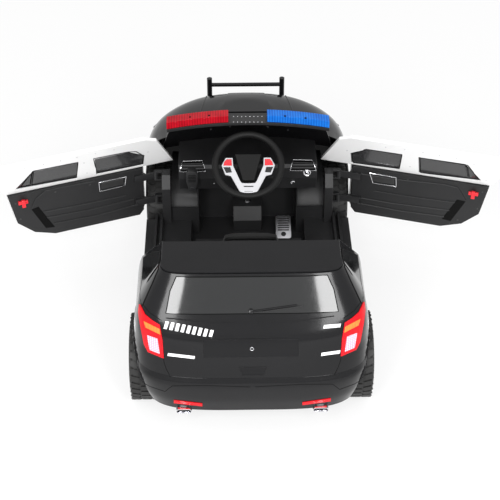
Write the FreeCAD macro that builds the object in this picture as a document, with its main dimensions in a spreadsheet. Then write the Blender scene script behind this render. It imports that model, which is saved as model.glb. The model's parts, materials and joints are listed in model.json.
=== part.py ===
"""Child's battery ride-on patrol car with both doors open, millimetres.

X points to the car's right, Y forward, Z up. The origin is on the floor under
the middle of the whole part's bounding box.
"""
import FreeCAD, Part
import os
from math import atan2, cos, degrees, pi, radians, sin, sqrt

from FreeCAD import Placement, Rotation, Vector

SIZES = {
    # stance
    "tyre_radius": 132,
    "tyre_width": 96,
    "tyre_shoulder": 12,
    "rim_radius": 88,
    "tread_depth": 7,
    "front_axle_y": 420,
    "rear_axle_y": -391,
    "front_wheel_x": 297,
    "rear_wheel_x": 316,
    "ground_gap": 92,
    "shell_wall": 4,
    "arch_gap": 18,
    "steer_gap": 11,
    # body outline
    "side_half": 344,
    "nose_y": 622,
    "tail_y": -606,
    "belt_height": 372,
    "deck_height": 508,
    "deck_half": 256,
    "deck_front_y": -318,
    "deck_rear_y": -462,
    "hood_height": 484,
    "ledge_height": 229,
    "window_foot_height": 408,
    # cabin
    "floor_height": 114,
    "sill_height": 172,
    "sill_strip_height": 200,
    "foot_half": 190,
    "toe_half": 168,
    "toe_y": 345,
    "well_wall_y": 250,
    "seat_front_y": 60,
    "seat_half": 172,
    "seat_height": 232,
    "seat_back_y": -262,
    "seat_back_height": 440,
    "bulkhead_y": -320,
    "dash_half": 226,
    "dash_top": 424,
    "dash_face_y": 198,
    # doors
    "hinge_x": 305,
    "hinge_y": 276,
    "door_inner_x": 315,
    "door_skin_x": 331,
    "door_outer_x": 349,
    "door_front_y": 246,
    "door_foot_y": -77,
    "door_rear_y": -224,
    "door_bottom": 178,
    "sail_tip_y": 344,
    "roof_rail_height": 520,
    "door_lean": 25,
    "frame_thickness": 12,
    "glass_thickness": 3,
    "left_door_open": 70,
    "right_door_open": 73.4,
    "hinge_pin_radius": 4,
    "hinge_barrel_radius": 8,
    # steering
    "ring_y": 126,
    "ring_height": 476,
    "ring_radius": 105,
    "rim_tube": 11,
    "column_rake": 55,
    "shaft_radius": 8,
    "steering_lock": 30,
    "steering_ratio": 0.5,
    "kingpin_x": 232,
    "kingpin_radius": 5,
    "knuckle_radius": 11,
    "knuckle_arm": 68,
    "stub_radius": 8,
    "tie_rod_height": 98,
    "tie_rod_radius": 5,
    "tie_pin_radius": 4,
    "crank_pin_radius": 3.5,
    "yoke_play": 1.2,
    "running_play": 0.05,
    "rear_rod_radius": 7,
    # light bar, push bar and trim
    "bar_half": 258,
    "bar_rise": 34,
    "bar_depth": 44,
    "lens_inner_x": 62,
    "push_bar_half": 134,
    "push_post_radius": 9,
    "push_bar_gap": 12,
    "push_bar_top": 488,
    "push_bar_foot": 150,
}

doc = FreeCAD.newDocument("patrol_ride_on")
sheet = doc.addObject("Spreadsheet::Sheet", "sizes")
for row, (alias, value) in enumerate(SIZES.items(), start=1):
    sheet.set(f"A{row}", alias)
    sheet.set(f"B{row}", str(value))
    sheet.setAlias(f"B{row}", alias)
doc.recompute()


class SheetSizes:
    """Reads a size from the sheet by its alias."""

    def __getattr__(self, alias):
        return float(sheet.get(alias))


s = SheetSizes()
pieces = []


# the model is drawn about the seat and set down with the box's middle on the origin
PUSH_BAR_Y = s.nose_y + s.push_bar_gap + s.push_post_radius
front_end = PUSH_BAR_Y + s.push_post_radius
SET_DOWN = Vector(0, -(front_end + s.tail_y) / 2, 0)


def keep(label, shape):
    """Adds a finished shape to the document as a named piece."""
    piece = doc.addObject("Part::Feature", label)
    piece.Shape = shape
    piece.Placement = Placement(SET_DOWN, Rotation()) * piece.Placement
    piece.Label = label
    pieces.append(piece)
    return piece


def block(x0, x1, y0, y1, z0, z1):
    """A box between two corners."""
    return Part.makeBox(x1 - x0, y1 - y0, z1 - z0, Vector(x0, y0, z0))


def rod(start, end, radius):
    """A round bar between two points."""
    along = end - start
    return Part.makeCylinder(radius, along.Length, start, along)


def prism(points, push):
    """A polygon pushed along a vector."""
    corners = [Vector(*p) for p in points]
    face = Part.Face(Part.makePolygon(corners + corners[:1]))
    return face.extrude(push)


def side_prism(outline, x0, x1):
    """A (y, z) outline pushed from x0 to x1."""
    return prism([(x0, y, z) for y, z in outline], Vector(x1 - x0, 0, 0))


def mirrored(shape):
    """The same shape on the other side of the car."""
    return shape.mirror(Vector(0, 0, 0), Vector(1, 0, 0))


def end_outline(half, y_start, y_end, square, height, y_back):
    """A level outline: straight sides and one end rounded as a superellipse."""
    steps = 12
    curve = []
    for i in range(steps + 1):
        turn = pi * i / steps
        across = abs(cos(turn)) ** (2 / square) * half
        ahead = abs(sin(turn)) ** (2 / square)
        side = 1 if cos(turn) >= 0 else -1
        curve.append(Vector(side * across, y_start + (y_end - y_start) * ahead, height))
    spline = Part.BSplineCurve()
    spline.interpolate(curve)
    right_back = Vector(half, y_back, height)
    left_back = Vector(-half, y_back, height)
    return Part.Wire([
        spline.toShape(),
        Part.makeLine(curve[-1], left_back),
        Part.makeLine(left_back, right_back),
        Part.makeLine(right_back, curve[0]),
    ])


def eased(knots, height):
    """Value of a smooth curve that never overshoots its (height, value) knots."""
    slopes = [(b[1] - a[1]) / (b[0] - a[0]) for a, b in zip(knots, knots[1:])]
    ends = [slopes[0]]
    for low, high in zip(slopes, slopes[1:]):
        ends.append(2 * low * high / (low + high) if low * high > 0 else 0.0)
    ends.append(slopes[-1])
    for i, (a, b) in enumerate(zip(knots, knots[1:])):
        if height <= b[0] or i == len(slopes) - 1:
            span = b[0] - a[0]
            u = (height - a[0]) / span
            return (a[1] * (1 + 2 * u) * (1 - u) ** 2 + b[1] * u * u * (3 - 2 * u)
                    + span * u * (1 - u) * (ends[i] * (1 - u) - ends[i + 1] * u))
    return knots[-1][1]


def end_loft(levels, y_start, y_back, wall=0.0, spacing=14):
    """A smooth solid through level outlines, moved inward by the wall."""
    inward = 1 if levels[0][2] < 0 else -1
    along = [0.0]
    for low, high in zip(levels, levels[1:]):
        along.append(along[-1] + sqrt(sum((a - b) ** 2 for a, b in zip(low[:3], high[:3]))))
    count = max(3, round(along[-1] / spacing))
    wires = []
    for i in range(count + 1):
        reach = along[-1] * i / count
        height, half, y_end, square = [
            eased([(place, level[k]) for place, level in zip(along, levels)], reach) for k in range(4)
        ]
        wires.append(end_outline(half - wall, y_start, y_end + inward * wall, square, height, y_back))
    return Part.makeLoft(wires, True, False)


def door_outline(grow=0.0):
    """The closed door's whole side outline, grown by a gap."""
    lower_rear_y = s.door_rear_y + 22
    return [
        (s.door_front_y + grow, s.door_bottom - grow),
        (s.door_foot_y - grow * 0.4, s.door_bottom - grow),
        (s.door_foot_y - 72, s.door_bottom + 24 - grow),
        (lower_rear_y - grow, s.door_bottom + 74 - grow * 0.4),
        (s.door_rear_y - grow, s.belt_height),
        (s.deck_front_y + 14 - grow, s.roof_rail_height - 16),
        (s.deck_front_y + 18 - grow * 0.5, s.roof_rail_height + grow),
        (s.hinge_y - 44, s.roof_rail_height + grow),
        (s.hinge_y + 2 + grow, s.roof_rail_height - 20),
        (s.sail_tip_y + grow, s.belt_height),
        (s.sail_tip_y + grow - 8, s.belt_height - 12),
        (s.hinge_y + 14 + grow, s.belt_height - 34),
    ]


BUMPER_LEVELS = [
    (s.ground_gap, s.side_half - 26, s.tail_y + 18, 4.0),
    (150, s.side_half - 6, s.tail_y + 5, 4.0),
    (205, s.side_half + 1, s.tail_y, 4.0),
    (s.ledge_height, s.side_half + 2, s.tail_y + 9, 3.8),
]
TAIL_LEVELS = [
    (s.ledge_height, s.side_half + 2, s.tail_y + 9, 3.8),
    (290, s.side_half, s.tail_y + 21, 3.8),
    (350, s.side_half - 7, s.tail_y + 37, 4.6),
    (s.window_foot_height, s.side_half - 20, s.tail_y + 70, 6.0),
]
PILLAR_LEVELS = [
    (s.window_foot_height, s.side_half - 20, s.tail_y + 70, 6.0),
    (455, s.side_half - 50, s.tail_y + 103, 6.0),
    (s.deck_height + 4, s.deck_half, s.deck_rear_y, 6.0),
]
HOOD = s.hood_height
FRONT_LEVELS = [
    (s.ground_gap, s.side_half - 22, s.nose_y - 18, 5.0),
    (150, s.side_half - 5, s.nose_y - 2, 6.0),
    (230, s.side_half - 3, s.nose_y, 5.4),
    (330, s.side_half - 4, s.nose_y - 4, 4.2),
    (360, s.side_half - 9, s.nose_y - 7, 3.7),
    (395, s.side_half - 22, s.nose_y - 12, 3.2),
    (430, s.side_half - 52, s.nose_y - 19, 2.9),
    (HOOD - 29, s.side_half - 94, s.nose_y - 28, 2.7),
    (HOOD - 17, s.side_half - 130, s.nose_y - 44, 2.6),
    (HOOD - 8, s.side_half - 178, s.nose_y - 66, 2.5),
    (HOOD, s.side_half - 250, s.nose_y - 110, 2.5),
]
REAR_BEND_Y = s.rear_axle_y - 9
FRONT_BEND_Y = s.front_axle_y - 40
ARCH_RADIUS = s.tyre_radius + s.arch_gap


def arch(axle_y, inner_x, radius=ARCH_RADIUS):
    """The pair of wheel openings on one axle."""
    right = rod(Vector(inner_x, axle_y, s.tyre_radius), Vector(500, axle_y, s.tyre_radius), radius)
    return right.fuse(mirrored(right))


def screen_arc(half, end_y, bow, height, thickness):
    """A level, bowed strip: the screen's section at one height."""
    front = Part.Arc(Vector(-half, end_y, height), Vector(0, end_y + bow, height),
                     Vector(half, end_y, height)).toShape()
    back = Part.Arc(Vector(-half, end_y - thickness, height), Vector(0, end_y + bow - thickness, height),
                    Vector(half, end_y - thickness, height)).toShape()
    return Part.Wire([
        front,
        Part.makeLine(Vector(half, end_y, height), Vector(half, end_y - thickness, height)),
        back,
        Part.makeLine(Vector(-half, end_y - thickness, height), Vector(-half, end_y, height)),
    ])


SCREEN_THICKNESS = 9
SCREEN_TOP = 572
SCREEN_FOOT = 384
SCREEN_TOP_HALF = 246
SCREEN_FOOT_HALF = 286
SCREEN_TOP_Y = 212
SCREEN_FOOT_Y = 372
SCREEN_BOW = 44


def screen_solid(thickness=SCREEN_THICKNESS, shift=0.0):
    """The raked windscreen panel."""
    top = screen_arc(SCREEN_TOP_HALF, SCREEN_TOP_Y + shift, SCREEN_BOW, SCREEN_TOP, thickness)
    foot = screen_arc(SCREEN_FOOT_HALF, SCREEN_FOOT_Y + shift, SCREEN_BOW, SCREEN_FOOT, thickness)
    return Part.makeLoft([foot, top], True, True)


AXIS = Vector(0, -cos(radians(s.column_rake)), sin(radians(s.column_rake)))
ACROSS = Vector(0, sin(radians(s.column_rake)), cos(radians(s.column_rake)))
RING = Vector(0, s.ring_y, s.ring_height)


def down_column(distance):
    """A point on the column's axis below the ring."""
    return RING - AXIS * distance


def column_hole(play):
    """The bore that the column runs through."""
    return rod(down_column(0), down_column(600), s.shaft_radius + play)


def swing_room():
    """The space that the right door's leading edge needs when it swings."""
    reach = s.sail_tip_y - s.hinge_y + 16
    cone = Part.makeCone(reach, 42, s.roof_rail_height - s.belt_height + 14,
                         Vector(s.hinge_x, s.hinge_y, s.belt_height - 16))
    return cone


# chassis

LINING_LEVELS = [(level[0] - s.shell_wall, *level[1:]) for level in FRONT_LEVELS]
FRONT_SOLID = end_loft(FRONT_LEVELS, FRONT_BEND_Y, s.hinge_y - 40, 0.0, 20)
FRONT_INSIDE = end_loft(LINING_LEVELS, FRONT_BEND_Y, s.hinge_y - 60, s.shell_wall, 20)
REAR_SOLID = end_loft(TAIL_LEVELS, REAR_BEND_Y, s.door_foot_y - 10).fuse(
    end_loft(PILLAR_LEVELS, REAR_BEND_Y, s.door_foot_y - 10))
REAR_INSIDE = end_loft(TAIL_LEVELS, REAR_BEND_Y, s.door_foot_y, s.shell_wall).fuse(
    end_loft(PILLAR_LEVELS, REAR_BEND_Y, s.door_foot_y, s.shell_wall))
FLOOR_LOW = s.floor_height - s.shell_wall
DASH_FOOT = 300
LIP_TOP = s.ground_gap + 2 + s.shell_wall
NOSE_FOOT_HALF = 100
TOE_LEAN = 24 / (DASH_FOOT - FLOOR_LOW)
BEAM_HALF = 8
LINER_REACH = 125
BEAM_GAP = 26


def toe_face_y(height):
    """Where the toe board's cabin face lies at a height."""
    return s.toe_y - s.shell_wall + TOE_LEAN * (height - FLOOR_LOW)


def floor_tub():
    """Floor, toe board and the bay floor under the hood."""
    wall = s.shell_wall
    floor_low = FLOOR_LOW
    rear_y = s.bulkhead_y
    tub = block(-s.foot_half, s.foot_half, rear_y, s.well_wall_y, floor_low, s.floor_height)
    tub = tub.fuse(block(-s.toe_half, s.toe_half, s.well_wall_y, s.toe_y, floor_low, s.floor_height))
    toe = side_prism([
        (toe_face_y(floor_low), floor_low), (toe_face_y(floor_low) + wall, floor_low),
        (toe_face_y(DASH_FOOT) + wall, DASH_FOOT), (toe_face_y(DASH_FOOT), DASH_FOOT),
    ], -s.toe_half, s.toe_half)
    bay_end_y = s.nose_y - 60
    bay = block(-s.toe_half, s.toe_half, s.toe_y, bay_end_y, floor_low, s.floor_height)
    bay = bay.fuse(block(-NOSE_FOOT_HALF, NOSE_FOOT_HALF, bay_end_y - 6, s.nose_y - 34, LIP_TOP, s.floor_height))
    tub = tub.fuse([toe, bay])
    tub = tub.cut(block(-44, 44, 262, s.toe_y + 62, floor_low - 5, s.floor_height + 50))
    tub = tub.cut(BEAM_SLOT)
    tub = tub.cut(column_hole(3))
    return tub.removeSplitter()


def side_pod():
    """One side's sill pod with its strip, wheel-well walls and wheel liner."""
    wall = s.shell_wall
    pod_rear_y = s.rear_axle_y + ARCH_RADIUS + 8
    sill_x = s.side_half - 2
    pod = block(s.foot_half, sill_x, pod_rear_y, s.well_wall_y, s.ground_gap, s.sill_height)
    hollow = block(s.foot_half + wall, sill_x - wall, pod_rear_y + wall, s.well_wall_y - wall,
                   s.ground_gap - 1, s.sill_height - wall)
    pod = pod.cut(hollow)
    strip_end_y = s.well_wall_y - 2
    strip = block(s.door_inner_x - 30, s.door_inner_x - 4, s.door_foot_y - 60, strip_end_y,
                  s.sill_height, s.sill_strip_height)
    groove = block(s.door_inner_x - 22, s.door_inner_x - 12, s.door_foot_y - 56, strip_end_y - 4,
                   s.sill_height + 6, s.sill_strip_height + 1)
    pod = pod.fuse(strip.cut(groove))
    well_end_x = s.hinge_x - 48
    well = block(s.toe_half - wall, well_end_x, s.well_wall_y - wall, s.well_wall_y, s.ground_gap,
                 s.sill_height + 50)
    liner_in = ARCH_RADIUS + 14
    axle = Vector(s.toe_half - wall, s.front_axle_y, s.tyre_radius)
    axle_end = Vector(well_end_x, s.front_axle_y, s.tyre_radius)
    liner = rod(axle, axle_end, liner_in + wall).cut(rod(axle, axle_end, liner_in))
    liner = liner.common(block(0, s.side_half, 0, s.front_axle_y + LINER_REACH, s.tyre_radius, s.hood_height))
    inner_wall = block(s.toe_half - wall, s.toe_half, s.well_wall_y - wall, s.nose_y - 60, FLOOR_LOW, DASH_FOOT)
    side = pod.fuse([well, liner, inner_wall])
    return side.cut(BEAM_SLOT).removeSplitter()


BEAM_SLOT = block(-s.kingpin_x, s.kingpin_x, s.front_axle_y - 11, s.front_axle_y + 11,
                  s.tyre_radius - BEAM_HALF, s.tyre_radius + BEAM_HALF)
SIDE_POD = side_pod()
FLOOR_TUB = floor_tub().cut([SIDE_POD, mirrored(SIDE_POD)])
TUB = FLOOR_TUB.fuse([SIDE_POD, mirrored(SIDE_POD)])
keep("chassis_tub", FLOOR_TUB)
keep("side_pod_right", SIDE_POD)
keep("side_pod_left", mirrored(SIDE_POD))


def front_shell():
    """Hood, fenders and A-post corners in one moulding."""
    lip = block(-s.side_half, s.side_half, s.nose_y - 60, s.nose_y, 0, LIP_TOP)
    shell = FRONT_SOLID.cut(FRONT_INSIDE.cut(lip))
    edge_y = s.hinge_y + 16
    rear_cut = side_prism([
        (s.door_front_y - 200, 0), (edge_y, 0), (edge_y, s.belt_height - 40),
        (s.sail_tip_y + 8, s.belt_height - 14),
        (SCREEN_FOOT_Y + 6, SCREEN_FOOT - 2), (SCREEN_TOP_Y, 640), (s.door_front_y - 200, 640),
    ], -500, 500)
    shell = shell.cut(rear_cut)
    shell = shell.cut(screen_solid(60, 0.1))
    shell = shell.cut(arch(s.front_axle_y, 150, ARCH_RADIUS + s.steer_gap))
    shell = shell.cut(block(-500, 500, 0, 700, 0, s.ground_gap + 2))
    room = swing_room()
    shell = shell.cut([room, mirrored(room)])
    solids = sorted(shell.Solids, key=lambda part: part.Volume)
    return solids[-1]


keep("front_shell", front_shell())
keep("windscreen_panel", screen_solid())


def rear_shell():
    """Quarter panels, tailgate and rear pillars."""
    band = block(-500, 500, -700, 700, s.ledge_height, s.deck_height)
    shell = REAR_SOLID.common(band).cut(REAR_INSIDE)
    shell = shell.cut(side_prism(door_outline(5), -500, 500))
    shell = shell.cut(block(-500, 500, s.door_rear_y + 20, 100, 0, 700))
    shell = shell.cut(arch(s.rear_axle_y, 150))
    solids = sorted(shell.Solids, key=lambda part: part.Volume)
    side = [part for part in solids if part.Volume > 1000]
    result = side[0]
    for part in side[1:]:
        result = result.fuse(part)
    return result


keep("rear_shell", rear_shell())


def rear_bumper():
    """The wrap-round bumper under the tailgate."""
    outer = end_loft(BUMPER_LEVELS, REAR_BEND_Y, s.rear_axle_y - 20)
    inner = end_loft(BUMPER_LEVELS, REAR_BEND_Y, s.rear_axle_y, s.shell_wall)
    top = block(-500, 500, -700, 0, s.ledge_height - s.shell_wall, s.ledge_height)
    shell = outer.cut(inner).fuse(outer.common(top))
    shell = shell.cut(arch(s.rear_axle_y, 150))
    solids = sorted(shell.Solids, key=lambda part: part.Volume)
    return solids[-1]


keep("rear_bumper", rear_bumper())

deck_plan = end_outline(s.deck_half + 1, s.deck_rear_y + 62, s.deck_rear_y + 1, 6.0,
                        s.deck_height, s.deck_front_y)
keep("rear_deck", Part.Face(deck_plan).extrude(Vector(0, 0, 6)))

bulkhead = block(-500, 500, s.bulkhead_y - 4, s.bulkhead_y, FLOOR_LOW, s.deck_height)
keep("rear_bulkhead", bulkhead.common(REAR_INSIDE).cut(arch(s.rear_axle_y, 200)))

seat_base = block(-s.seat_half, s.seat_half, s.bulkhead_y + 4, s.seat_front_y, s.floor_height, s.seat_height)
seat_hollow = block(-s.seat_half + 6, s.seat_half - 6, s.bulkhead_y + 10, s.seat_front_y - 6,
                    s.floor_height - 1, s.seat_height - 6)
seat_back = side_prism([
    (s.bulkhead_y, s.seat_height - 5), (s.seat_back_y + 20, s.seat_height - 5),
    (s.seat_back_y - 14, s.seat_back_height), (s.bulkhead_y, s.seat_back_height),
], -s.seat_half, s.seat_half)
keep("seat", seat_base.cut(seat_hollow).fuse(seat_back).removeSplitter())

keep("battery", block(-75, 75, -150, -55, s.floor_height, s.floor_height + 98))


def dashboard():
    """The dash moulding with the column's hole."""
    profile = [
        (s.dash_face_y + 8, s.dash_top), (s.dash_face_y, s.dash_top - 10), (s.dash_face_y + 2, 372),
        (s.dash_face_y + 26, DASH_FOOT + 16), (s.dash_face_y + 70, DASH_FOOT),
        (toe_face_y(DASH_FOOT) + s.shell_wall, DASH_FOOT), (s.nose_y - 180, SCREEN_FOOT),
        (s.nose_y - 180, s.dash_top),
    ]
    body = side_prism(profile, -s.dash_half, s.dash_half)
    return body.cut(screen_solid(120, 120 - SCREEN_THICKNESS))


keep("dashboard", dashboard().cut(column_hole(s.running_play)))

# steering gear
KNUCKLE_LOCK = s.steering_lock * s.steering_ratio
CRANK = s.knuckle_arm * sin(radians(KNUCKLE_LOCK)) / sin(radians(s.steering_lock))
TIE_Y = s.front_axle_y - s.knuckle_arm
pin_reach = (s.ring_height - ACROSS.z * CRANK - s.tie_rod_height) / AXIS.z
pin_point = down_column(pin_reach) - ACROSS * CRANK
crank_drop = pin_reach - 22

shaft = rod(down_column(16), down_column(crank_drop), s.shaft_radius)
crank_foot = down_column(crank_drop)
crank_bar = rod(crank_foot, crank_foot - ACROSS * CRANK, 6)
crank_pin = rod(crank_foot - ACROSS * CRANK, pin_point - AXIS * 10, s.crank_pin_radius)
knee = Part.makeSphere(s.shaft_radius, crank_foot)
knee_end = Part.makeSphere(6, crank_foot - ACROSS * CRANK)
keep("steering_shaft", shaft.fuse([knee, crank_bar, knee_end, crank_pin]).removeSplitter())

ring = doc.addObject("Part::Torus", "steering_rim")
ring.setExpression("Radius1", "sizes.ring_radius")
ring.setExpression("Radius2", "sizes.rim_tube")
ring.Placement = Placement(RING + SET_DOWN, Rotation(Vector(0, 0, 1), AXIS))
pieces.append(ring)


def on_ring(shape):
    """Moves a shape modelled on a level ring to the raked ring."""
    moved = shape.copy()
    moved.Placement = Placement(RING, Rotation(Vector(1, 0, 0), 90 - s.column_rake))
    return moved


spoke_reach = s.ring_radius - s.rim_tube + 3
spokes = prism([
    (-spoke_reach + 1, 18, -10), (-spoke_reach + 12, 34, -10), (-38, 30, -10), (-14, -50, -10),
    (14, -50, -10), (38, 30, -10), (spoke_reach - 12, 34, -10), (spoke_reach - 1, 18, -10),
    (52, -8, -10), (34, -spoke_reach + 6, -10), (-34, -spoke_reach + 6, -10), (-52, -8, -10),
], Vector(0, 0, 10))
pad = prism([
    (-42, 34, -16), (-18, -54, -16), (18, -54, -16), (42, 34, -16),
], Vector(0, 0, 24))
keep("horn_pad", on_ring(pad))
flat_ring = Part.makeTorus(s.ring_radius, s.rim_tube + s.running_play)
keep("steering_spokes", on_ring(spokes.cut([pad, flat_ring])))

SHROUD_HALF = 48
SHROUD_TOP = 196
shroud_outline = [
    (258, s.floor_height), (258, 156), (288, SHROUD_TOP), (toe_face_y(SHROUD_TOP), SHROUD_TOP),
    (toe_face_y(s.floor_height), s.floor_height),
]
shroud_hollow = [
    (262, s.floor_height - 1), (262, 154), (290, SHROUD_TOP - 4), (400, SHROUD_TOP - 4), (400, s.floor_height - 1),
]
shroud = side_prism(shroud_outline, -SHROUD_HALF, SHROUD_HALF)
shroud = shroud.cut(side_prism(shroud_hollow, 4 - SHROUD_HALF, SHROUD_HALF - 4))
keep("column_shroud", shroud.cut(column_hole(3)))

king_low = s.tyre_radius - BEAM_GAP
king_high = s.tyre_radius + BEAM_GAP
beam = block(-s.kingpin_x + 26, s.kingpin_x - 26, s.front_axle_y - 11, s.front_axle_y + 11,
             s.tyre_radius - BEAM_HALF, s.tyre_radius + BEAM_HALF)
for side in (-1, 1):
    pin_x = side * s.kingpin_x
    near, far = sorted((side * (s.kingpin_x - 30), side * (s.kingpin_x + 9)))
    top = block(near, far, s.front_axle_y - 13, s.front_axle_y + 13, king_high, king_high + 6)
    low = block(near, far, s.front_axle_y - 13, s.front_axle_y + 13, king_low - 6, king_low)
    near, far = sorted((side * (s.kingpin_x - 30), side * (s.kingpin_x - 22)))
    web = block(near, far, s.front_axle_y - 13, s.front_axle_y + 13, king_low - 6, king_high + 6)
    pin = rod(Vector(pin_x, s.front_axle_y, king_low - 6), Vector(pin_x, s.front_axle_y, king_high + 6),
              s.kingpin_radius)
    beam = beam.fuse([top, low, web, pin])
keep("front_axle_beam", beam.removeSplitter())


def knuckle(side):
    """Kingpin sleeve with its stub axle and steering arm."""
    pivot = Vector(side * s.kingpin_x, s.front_axle_y, s.tyre_radius)
    sleeve = rod(Vector(pivot.x, pivot.y, king_low + 1), Vector(pivot.x, pivot.y, king_high - 1),
                 s.knuckle_radius)
    stub_end = side * (s.front_wheel_x + s.tyre_width / 2 - 4)
    stub = rod(pivot, Vector(stub_end, pivot.y, pivot.z), s.stub_radius)
    arm_low = s.tie_rod_height + 14
    near, far = sorted((pivot.x - 6, pivot.x + 6))
    arm = block(near, far, TIE_Y - 6, pivot.y, arm_low, arm_low + 7)
    pin = rod(Vector(pivot.x, TIE_Y, arm_low), Vector(pivot.x, TIE_Y, s.tie_rod_height - 8), s.tie_pin_radius)
    bore = rod(Vector(pivot.x, pivot.y, 0), Vector(pivot.x, pivot.y, 300), s.kingpin_radius + s.running_play)
    return sleeve.fuse([stub, arm, pin]).cut(bore).removeSplitter()


keep("knuckle_left", knuckle(-1))
keep("knuckle_right", knuckle(1))

tie = rod(Vector(-s.kingpin_x, TIE_Y, s.tie_rod_height), Vector(s.kingpin_x, TIE_Y, s.tie_rod_height),
          s.tie_rod_radius)
for side in (-1, 1):
    eye = rod(Vector(side * s.kingpin_x, TIE_Y, s.tie_rod_height - 6),
              Vector(side * s.kingpin_x, TIE_Y, s.tie_rod_height + 6), 9)
    tie = tie.fuse(eye)
yoke_half = s.crank_pin_radius + s.yoke_play
yoke = block(-yoke_half - 6, yoke_half + 6, pin_point.y - 18, pin_point.y + 18,
             s.tie_rod_height - 4, s.tie_rod_height + 4)
tie = tie.fuse(yoke)
tie = tie.cut(block(-yoke_half, yoke_half, pin_point.y - 12, pin_point.y + 12, 0, 200))
left_eye = rod(Vector(-s.kingpin_x, TIE_Y, 0), Vector(-s.kingpin_x, TIE_Y, 200),
               s.tie_pin_radius + s.running_play)
right_eye = rod(Vector(s.kingpin_x, TIE_Y, 0), Vector(s.kingpin_x, TIE_Y, 200), s.tie_pin_radius + 0.4)
keep("tie_rod", tie.cut([left_eye, right_eye]).removeSplitter())

# rear drive
keep("rear_axle", rod(Vector(-s.rear_wheel_x - 52, s.rear_axle_y, s.tyre_radius),
                      Vector(s.rear_wheel_x + 52, s.rear_axle_y, s.tyre_radius), s.rear_rod_radius))


def gearbox(side):
    """Motor and reduction gear beside a rear wheel."""
    inner_face = s.rear_wheel_x - s.tyre_width / 2 - 6
    case = block(inner_face - 34, inner_face, s.rear_axle_y - 30, s.rear_axle_y + 60,
                 s.tyre_radius - 30, s.tyre_radius + 30)
    motor = rod(Vector(inner_face - 34, s.rear_axle_y + 40, s.tyre_radius),
                Vector(inner_face - 84, s.rear_axle_y + 40, s.tyre_radius), 19)
    bore = rod(Vector(0, s.rear_axle_y, s.tyre_radius), Vector(400, s.rear_axle_y, s.tyre_radius),
               s.rear_rod_radius + s.running_play)
    unit = case.fuse(motor).cut(bore)
    return unit if side > 0 else mirrored(unit)


keep("gearbox_left", gearbox(-1))
keep("gearbox_right", gearbox(1))

# rear carrier between the axle and the bulkhead
carrier = block(-140, 140, s.rear_axle_y - 16, s.rear_axle_y + 16, s.tyre_radius - 16, s.tyre_radius + 40)
carrier = carrier.fuse(block(-140, 140, s.rear_axle_y, s.bulkhead_y - 4, s.tyre_radius + 34, s.tyre_radius + 40))
keep("rear_carrier", carrier.cut(rod(Vector(-200, s.rear_axle_y, s.tyre_radius),
                                     Vector(200, s.rear_axle_y, s.tyre_radius),
                                     s.rear_rod_radius + s.running_play)).removeSplitter())

# wheels


def wheel_sketch(body, name, points):
    """A closed sketch in the XY plane: x along the axle, y away from it."""
    sketch = body.newObject("Sketcher::SketchObject", name)
    plane = [f for f in body.Origin.OriginFeatures if f.Role == "XY_Plane"][0]
    sketch.AttachmentSupport = [(plane, "")]
    sketch.MapMode = "FlatFace"
    count = len(points)
    for i in range(count):
        start, end = points[i], points[(i + 1) % count]
        sketch.addGeometry(Part.LineSegment(Vector(start[0], start[1], 0), Vector(end[0], end[1], 0)), False)
    return sketch


def turned(label, points, centre):
    """A body of revolution about the axle through the given centre."""
    body = doc.addObject("PartDesign::Body", label)
    body.Label = label
    sketch = wheel_sketch(body, label + "_profile", points)
    turn = body.newObject("PartDesign::Revolution", label + "_turn")
    turn.Profile = sketch
    turn.ReferenceAxis = (sketch, ["H_Axis"])
    turn.Angle = 360
    body.Tip = turn
    body.Placement = Placement(centre + SET_DOWN, Rotation())
    pieces.append(body)
    return body


def tyre_points(side):
    """Half section of the tyre."""
    half = s.tyre_width / 2
    seat = s.rim_radius + s.running_play
    outer = s.tyre_radius
    edge = s.tyre_shoulder
    return [
        (-half + 4, seat), (half - 4, seat), (half, seat + 8), (half, outer - edge), (half - edge * 0.7, outer),
        (-half + edge * 0.7, outer), (-half, outer - edge), (-half, seat + 8),
    ]


def hub_points(side, bore):
    """Half section of the wheel: barrel, dished face and boss."""
    half = s.tyre_width / 2
    out = side
    rim = s.rim_radius
    points = [
        (-half + 6, rim), (half - 2, rim), (half - 2, rim - 8), (half - 14, rim - 12), (half - 18, 24),
        (half - 10, 22), (half - 10, bore), (-half + 10, bore), (-half + 10, 20), (half - 26, 20),
        (half - 24, rim - 16), (-half + 6, rim - 6),
    ]
    if out > 0:
        return points
    return [(-x, r) for x, r in reversed(points)]


WHEELS = {
    "front_left": (-1, -s.front_wheel_x, s.front_axle_y, s.stub_radius),
    "front_right": (1, s.front_wheel_x, s.front_axle_y, s.stub_radius),
    "rear_left": (-1, -s.rear_wheel_x, s.rear_axle_y, s.rear_rod_radius),
    "rear_right": (1, s.rear_wheel_x, s.rear_axle_y, s.rear_rod_radius),
}
for name, (side, x, y, spindle) in WHEELS.items():
    centre = Vector(x, y, s.tyre_radius)
    turned("tyre_" + name, tyre_points(side), centre)
    turned("hub_" + name, hub_points(side, spindle + s.running_play), centre)

# doors


def leaned(outline, thickness, rise_from):
    """A (y, z) outline on the plane that leans inward above the belt."""
    lean = radians(s.door_lean)
    base_x = s.door_skin_x + 6
    points = []
    for y, z in outline:
        points.append((base_x - (z - rise_from) * sin(lean) / cos(lean), y, z))
    push = Vector(-cos(lean), 0, -sin(lean)) * thickness
    return prism(points, push)


FOOT_RISE = 34


def lower_outline(inset=0.0, top=0.0):
    """The door below its belt, moved in all round and cut down at the top."""
    return [
        (s.door_front_y - inset, s.door_bottom + FOOT_RISE + inset),
        (s.door_front_y - FOOT_RISE * 0.8 - inset, s.door_bottom + inset),
        (s.door_foot_y, s.door_bottom + inset),
        (s.door_foot_y - 72 + inset, s.door_bottom + 24 + inset),
        (s.door_rear_y + 22 + inset, s.door_bottom + 74 + inset),
        (s.door_rear_y + inset, s.belt_height - top),
        (s.door_front_y - inset, s.belt_height - top),
    ]


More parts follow.
